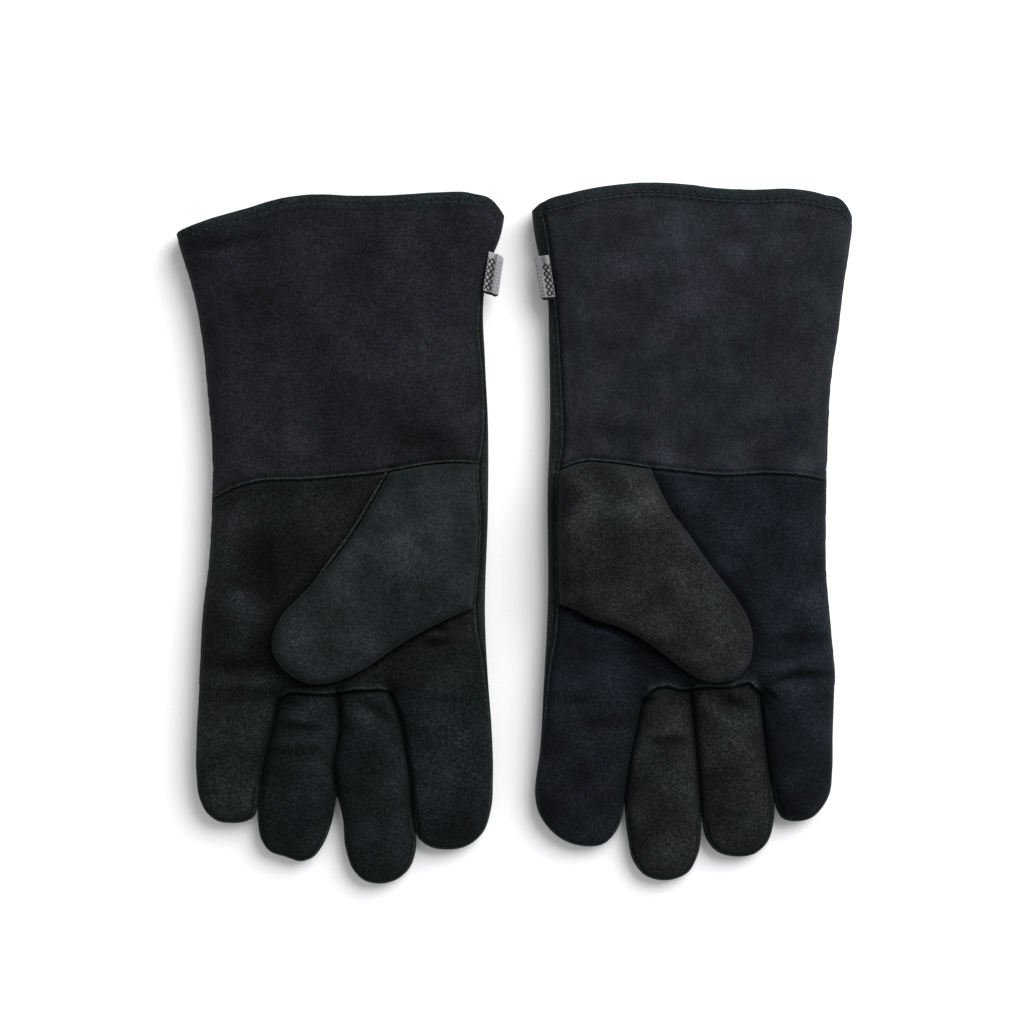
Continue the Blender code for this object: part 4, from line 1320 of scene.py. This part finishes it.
class Thumb:
    """The thumb's leather from its seams in the palm to its tip, laid over the palm."""

    def __init__(self, skin):
        self.skin, self.name, self.side = skin, skin.name, skin.side
        self.heel, self.crest, apex = (np.array(skin.data[k], float) for k in ("heel", "crest", "thumb_apex"))
        edge = skin.thumb_edge
        tip = int(np.linalg.norm(edge - apex, axis=1).argmin())
        self.low, self.high = edge[: tip + 1], edge[tip:][::-1]
        self.root = self.root_line()
        self.free = np.concatenate([self.low, self.high[::-1]])
        self.outline = np.concatenate([self.root, self.high, self.low[::-1]])
        self.centre = (self.heel + self.crest + apex) / 3
        heading = apex - (self.heel + self.crest) / 2
        self.heading = heading / np.linalg.norm(heading)
        pivot = JOINTS[f"{skin.name}_thumb_lift"]["pos_m"]
        self.pivot = np.array((pivot[0] * skin.side, pivot[1])) / MM
        self.plan = self.rows()

    def root_line(self):
        """From the heel up beside the side seam, round its corner, and along the cuff's seam to the crest."""
        skin = self.skin
        corner = float(skin.wrist(float(skin.seam(36.0)))) - 0.7
        vs = np.linspace(self.heel[1], corner, 60)
        us = np.linspace(float(skin.seam(corner)) + 0.7, self.crest[0], 50)[1:]
        line = np.concatenate([np.c_[skin.seam(vs) + 0.7, vs], np.c_[us, skin.wrist(us) - 0.9]])
        line[0], line[-1] = self.heel, self.crest
        return line

    def rows(self):
        """Plan points in rows from the root to the tip."""
        rows, columns = shares(lengths(self.high)[-1]), shares(THUMB_WIDTH)
        low, high, root = resample(self.low, rows), resample(self.high, rows), resample(self.root, columns)
        chord = self.heel * (1 - columns)[:, None] + self.crest * columns[:, None]
        spread = columns[None, :, None]
        plan = low[:, None] * (1 - spread) + high[:, None] * spread
        return plan + ((1 - rows) ** 1.4)[:, None, None] * (root - chord)[None]

    def level(self, points):
        """Height of the thumb's own seam, which comes down to the palm at the root."""
        palm = self.skin.top(points) + CLEARANCE
        from_root, _ = distance_along(points, self.root)
        return palm + (THUMB_SEAM - palm) * smooth_step(from_root / 24)

    def out_from_pivot(self, plan):
        """Distance from the thumb's hinge towards its tip."""
        return (plan - self.pivot) @ self.heading

    def from_edge(self, flat, at_edge):
        return np.where(at_edge.reshape(-1), 0, soft_distance(flat, self.outline))

    def make_skin(self):
        """The thumb's upper leather."""
        flat = self.plan.reshape(-1, 2)
        at_edge = np.ones(self.plan.shape[:2], bool)
        at_edge[1:-1, 1:-1] = False
        near = self.from_edge(flat, at_edge)
        edge, along = distance_along(flat, self.free)
        body = np.clip(near / 8, 0, 1)
        height = dome(near / THUMB_REACH, 2.5) * (THUMB_TOP - THUMB_SEAM - 0.4)
        height += 0.4 * waves(flat, SEEDS["thumb"] + self.side, 22, 70) * body
        height += DENT_HEIGHT * waves(flat, SEEDS["thumb_dents"] + self.side, **DENTS) * body
        height += 0.12 * puckers(along, 0.8, 1.5, 0.21) * bell(edge, 4.0) * np.clip(near / 2.0, 0, 1)
        height -= 0.25 * bell(edge - 1.6, 0.6) * np.clip(near, 0, 1)
        self.ids = tip_grid(*self.plan.shape[:2])
        quads = grid_quads(self.ids, False)
        self.points = np.c_[flat, self.level(flat) + np.maximum(height, 0)]
        self.normals = vertex_normals(self.points, quads)
        # Painted highlight at the edge, and painted shade in the groove inside the edge and at the edge
        return make_mesh(f"{self.name}_thumb_skin", self.points, without_doubles(quads)[0],
                         [SUEDE[self.name, "thumb"]], self.side, seam=0.15 * bell(near, 1.0),
                         nap=self.skin.nap(flat), fold=0.3 * bell(edge - 1.6, 0.5) + 0.25 * bell(near, 1.2))

    def make_lining(self):
        """The cotton bag inside the thumb: an upper half, and a lower one that meets it at the edges."""
        rows, columns = (np.r_[: count - 1 : LINING_STEP, count - 1] for count in self.plan.shape[:2])
        ids = self.ids[rows][:, columns]
        out = self.out_from_pivot(self.points[ids][..., :2])
        inset = THUMB_LINING * (1 + bell(out - 8, 14))
        upper = (self.points[ids] - inset[..., None] * self.normals[ids]).reshape(-1, 3)
        plan = upper[:, :2]
        inside = np.clip((soft_distance(plan, self.outline) - THUMB_LINING) / 4, 0, 1)
        lower = upper.copy()
        lower[:, 2] -= inside * np.maximum(upper[:, 2] - self.level(plan), 0)
        bag = np.arange(ids.size).reshape(ids.shape)
        under_bag = np.where(np.pad(np.ones((len(rows) - 2, len(columns) - 2), bool), 1), bag + bag.size, bag)
        faces = np.concatenate([grid_quads(bag, False), grid_quads(under_bag, True)])
        used, faces = np.unique(faces, return_inverse=True)
        return make_mesh(f"{self.name}_thumb_inner", np.concatenate([upper, lower])[used],
                         faces.reshape(-1, 4).tolist(), [LINING], self.side)

    def make_underside(self):
        """The leather under the thumb, from inside its fold to the tip. It stays above the palm."""
        first = int(np.argmax(self.out_from_pivot(self.plan).min(axis=1) > UNDERSIDE_START))
        under = self.plan[first:]
        flat = under.reshape(-1, 2)
        at_edge = np.zeros(under.shape[:2], bool)
        at_edge[:, [0, -1]] = at_edge[-1] = True
        near = self.from_edge(flat, at_edge)
        level = self.level(flat)
        below = level - dome(near / UNDERSIDE_REACH, 2.3) * (THUMB_SEAM - HAND_TOP - 0.8)
        height = np.where(near > 0, np.maximum(below, self.skin.top(flat) + CLEARANCE), level)
        faces, _ = without_doubles(grid_quads(tip_grid(*under.shape[:2]), True))
        # Painted highlight at the edge
        return make_mesh(f"{self.name}_thumb_underside", np.c_[flat, height], faces,
                         [SUEDE[self.name, "back"]], self.side, seam=0.1 * bell(near, 2.0),
                         nap=self.skin.nap(flat))

    def edge_line(self, line, outwards, lift):
        """Points along a free edge, moved outwards in plan and up."""
        tangent = directions(line)
        away = np.c_[tangent[:, 1], -tangent[:, 0]]
        away *= np.sign(((line - self.centre) * away).sum(axis=1).mean())
        return np.c_[line + away * outwards, self.level(line) + lift]

    def welt_line(self, share):
        """A line beside a share of the high edge, from the root on, that sinks into the leather."""
        high = evenly(self.high, WELT_STEP)
        high = high[: int(len(high) * share)]
        line = self.edge_line(high, 1.7, -1.3)
        sunk = 1 - smooth_step(length_left(high) / 22)
        line[:, :2] += (high - line[:, :2]) * sunk[:, None] * 0.9
        line[:, 2] -= 1.2 * sunk
        return line


# ------------------------------ one glove

# Places at the knuckles and the wrist of the frame, and at the thumb in millimetres from its hinge towards
# its tip, that each piece is handed to bend with
KNUCKLE_BEND = ((0, -0.0845, 0), (0, -0.1035, 0))
WRIST_BEND = ((0, 0.039, 0), (0, 0.0595, 0))
THUMB_BEND = (-2.0, 20.0)

PIPED_FINGERS = ("middle", "ring")
HAND_LINING, FINGER_LINING, CUFF_LINING = 4.2, 4.4, 2.9
WELT_RADIUS = 0.45
SIDE_WELT_START, SIDE_WELT_WRIST, SIDE_WELT_END = -83, 37, 168
OUTER_WELT_START, OUTER_WELT_WRIST = -78, 34


def finish_as(skin, nodes):
    """Hides the CAD nodes that a piece stands for."""
    if nodes:
        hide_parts(*(f"{skin.name}_{node}" for node in nodes))


def ride(skin, part, obj, slot, *nodes):
    """A piece that moves with one part of the glove."""
    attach(obj, f"{skin.name}_{part}")
    finish_as(skin, nodes)


def bend(skin, part, ends, obj, slot, *nodes):
    """A piece that stays where it is, with its transform baked into its mesh, and that stands for CAD nodes.
    """
    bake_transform(obj)
    finish_as(skin, nodes)


def make_hand(skin):
    ride(skin, "hand", skin.piece("palm_skin", ("palm", "strip")), "suede", "palm")
    ride(skin, "hand", skin.piece("back_skin", ("back",)), "suede", "hand_back")
    ride(skin, "hand", lining(skin, "hand", HAND_LINING), "lining", "hand_lining")


def make_finger(skin, finger):
    look, slot = ("finger", "finger_suede") if finger in PIPED_FINGERS else (finger, "suede")
    # The rims outside the fingertips' seams take the welt's paler suede, a painted highlight
    front = skin.piece(f"{finger}_front_skin", (look, "strip", "welt"))
    bend(skin, finger, KNUCKLE_BEND, front, slot, f"{finger}_front")
    bend(skin, finger, KNUCKLE_BEND, skin.piece(f"{finger}_back_skin", ("back",)), "suede", f"{finger}_back")
    bag = lining(skin, finger, FINGER_LINING)
    bend(skin, finger, KNUCKLE_BEND, bag, "lining", f"{finger}_lining")


def make_cuff(skin):
    front = skin.piece("cuff_front_skin", ("cuff", "strip"))
    bend(skin, "cuff", WRIST_BEND, front, "cuff_suede", "cuff_front")
    bend(skin, "cuff", WRIST_BEND, skin.piece("cuff_back_skin", ("back",)), "cuff_suede", "cuff_back")
    bend(skin, "cuff", WRIST_BEND, lining(skin, "cuff", CUFF_LINING, 2), "lining", "cuff_lining")
    ride(skin, "cuff", hem(skin), "cuff_suede", "cuff_binding")
    ride(skin, "cuff", label(skin), "label", "label")


def sewn_welt(skin, piece, plan, lift, radius, seed, thin_end=0.0):
    """A welt that lies on the palm side."""
    line = np.c_[plan, skin.top(plan) + lift]
    material = SUEDE[skin.name, "welt"]
    return welt(f"{skin.name}_{piece}", line, radius, material, skin.side, seed, thin_end=thin_end)


def make_side_welts(skin):
    """The welt beside the thumb: along the index finger, the hand and the cuff."""
    seam = skin.lines["side"]
    line = evenly(seam[seam[:, 1] < SIDE_WELT_START], WELT_STEP)
    bend(skin, "index", KNUCKLE_BEND, sewn_welt(skin, "index_side_welt", line, 0.3, 0.5, 1), "welt")
    vs = np.linspace(SIDE_WELT_START, SIDE_WELT_WRIST, 150)
    on_hand = sewn_welt(skin, "hand_side_welt", np.c_[skin.seam(vs), vs], 0.5, WELT_RADIUS, 2)
    ride(skin, "hand", on_hand, "welt", "hand_inner_welt")
    vs = np.linspace(SIDE_WELT_WRIST, min(SIDE_WELT_END, skin.data["seam_end"]), 160)
    on_cuff = sewn_welt(skin, "cuff_side_welt", np.c_[skin.seam(vs), vs], 0.5, WELT_RADIUS, 3, 10)
    bend(skin, "cuff", WRIST_BEND, on_cuff, "welt", "cuff_inner_welt")


def make_piping(skin):
    wrist = sewn_welt(skin, "wrist_welt", skin.lines["wrist"][4:-3] + (0, 0.25), 0.75, WELT_RADIUS, 4)
    ride(skin, "hand", wrist, "welt", "wrist_piping")
    line = skin.lines["base"][3:-3] + (0, 0.35)
    knuckles = sewn_welt(skin, "knuckle_welt", line, 0.45, skin.data["ridge"][0], 6)
    ride(skin, "hand", knuckles, "welt", "knuckle_piping")


def make_outer_welts(skin):
    """The folded edge on the far side from the thumb, along the hand and the cuff."""

    def outer_welt(piece, low, high, seed):
        vs = np.arange(low, high, 0.9)
        line = np.c_[skin.outer(vs) - 0.25, vs, np.full(len(vs), SEAM)]
        return welt(f"{skin.name}_{piece}", line, 0.55, SUEDE[skin.name, "back"], skin.side, seed, 0.12)

    mouth_v = float(skin.mouth(float(skin.outer(160))))
    on_hand = outer_welt("hand_outer_edge", OUTER_WELT_START, OUTER_WELT_WRIST, 7)
    ride(skin, "hand", on_hand, "welt", "hand_outer_welt")
    on_cuff = outer_welt("cuff_outer_edge", OUTER_WELT_WRIST, mouth_v - 2, 8)
    bend(skin, "cuff", WRIST_BEND, on_cuff, "welt", "cuff_outer_welt")


def make_hem_stitches(skin):
    for k, depth in enumerate(skin.data["stitch_rows"]):
        us = np.arange(float(skin.inner(160)) + 2, float(skin.outer(160)) - 2, WELT_STEP)
        plan = np.c_[us, skin.mouth(us) - depth]
        line = np.c_[plan, skin.top(plan) + 0.1]
        row = stitches(f"{skin.name}_hem_stitches_{k + 1}", line, HEM_THREAD, skin.side)
        ride(skin, "cuff", row, "cuff_suede")


def make_thumb(skin):
    name, side, thumb = skin.name, skin.side, Thumb(skin)
    ends = [(side * u * MM, v * MM, 0) for u, v in (thumb.pivot + out * thumb.heading for out in THUMB_BEND)]
    upper, bag, underside = thumb.make_skin(), thumb.make_lining(), thumb.make_underside()
    bend(skin, "thumb", ends, upper, "thumb_suede", "thumb_base", "thumb_front")
    bend(skin, "thumb", ends, underside, "thumb_suede", "thumb_back")
    line = thumb.edge_line(evenly(thumb.free, WELT_STEP), -0.1, -0.25)
    bend(skin, "thumb", ends, welt(f"{name}_thumb_edge", line, 0.4, SUEDE[name, "back"], side, 9), "welt")
    if skin.data["thumb_welt"]:
        line = thumb.welt_line(skin.data["thumb_welt"])
        material = SUEDE[name, "welt"]
        ridge = welt(f"{name}_thumb_welt", line, 0.8, material, side, 5, 0.06, thin_end=16, sides=10)
        bend(skin, "thumb", ends, ridge, "welt")
    bend(skin, "thumb", ends, bag, "lining", "thumb_lining")


def make_glove(name):
    skin = Skin(name)
    make_hand(skin)
    for finger in FINGERS:
        make_finger(skin, finger)
    make_cuff(skin)
    make_side_welts(skin)
    make_piping(skin)
    make_outer_welts(skin)
    make_hem_stitches(skin)
    make_thumb(skin)


for glove in GLOVES:
    make_glove(glove)


# ------------------------------ floor, light, camera

FLOOR_SIZE = 12
FLOOR_HEIGHT = -0.0003
SKY_COLOUR = (0.97, 0.985, 1, 1)
SKY_STRENGTH = 0.62
KEY_PLACE = (1.20, 1.28, 1.50)
KEY_SIZE = 2.3
KEY_POWER = 95
VIEW_WIDTH = 0.5278
VIEW_CENTRE = (-0.0010, 0.01185)
CAMERA_HEIGHT = 2.0
FOCUS_HEIGHT = 0.012
SENSOR = 36.0


def make_floor():
    bpy.ops.mesh.primitive_plane_add(size=FLOOR_SIZE, location=(0, 0, FLOOR_HEIGHT))
    floor = bpy.context.object
    floor.name = "floor"
    floor.data.materials.append(floor_paper())


def make_light():
    """A pale sky all round, and one large soft lamp above the far right, which faces the gloves."""
    world = bpy.data.worlds.new("studio")
    bpy.context.scene.world = world
    world.use_nodes = True
    background = world.node_tree.nodes["Background"]
    background.inputs["Color"].default_value = SKY_COLOUR
    background.inputs["Strength"].default_value = SKY_STRENGTH
    light = bpy.data.lights.new("key", "AREA")
    light.shape = "DISK"
    light.size = KEY_SIZE
    light.energy = KEY_POWER
    lamp = bpy.data.objects.new("key", light)
    lamp.location = KEY_PLACE
    lamp.rotation_euler = (-Vector(KEY_PLACE)).to_track_quat("-Z", "Y").to_euler()
    bpy.context.scene.collection.objects.link(lamp)


def make_camera():
    """Straight above the gloves, looking down."""
    data = bpy.data.cameras.new("camera")
    data.sensor_width = SENSOR
    data.lens = SENSOR * (CAMERA_HEIGHT - FOCUS_HEIGHT) / VIEW_WIDTH
    camera = bpy.data.objects.new("camera", data)
    camera.location = (*VIEW_CENTRE, CAMERA_HEIGHT)
    bpy.context.scene.collection.objects.link(camera)
    bpy.context.scene.camera = camera
    bpy.context.scene.view_settings.view_transform = "Standard"


make_floor()
make_light()
make_camera()
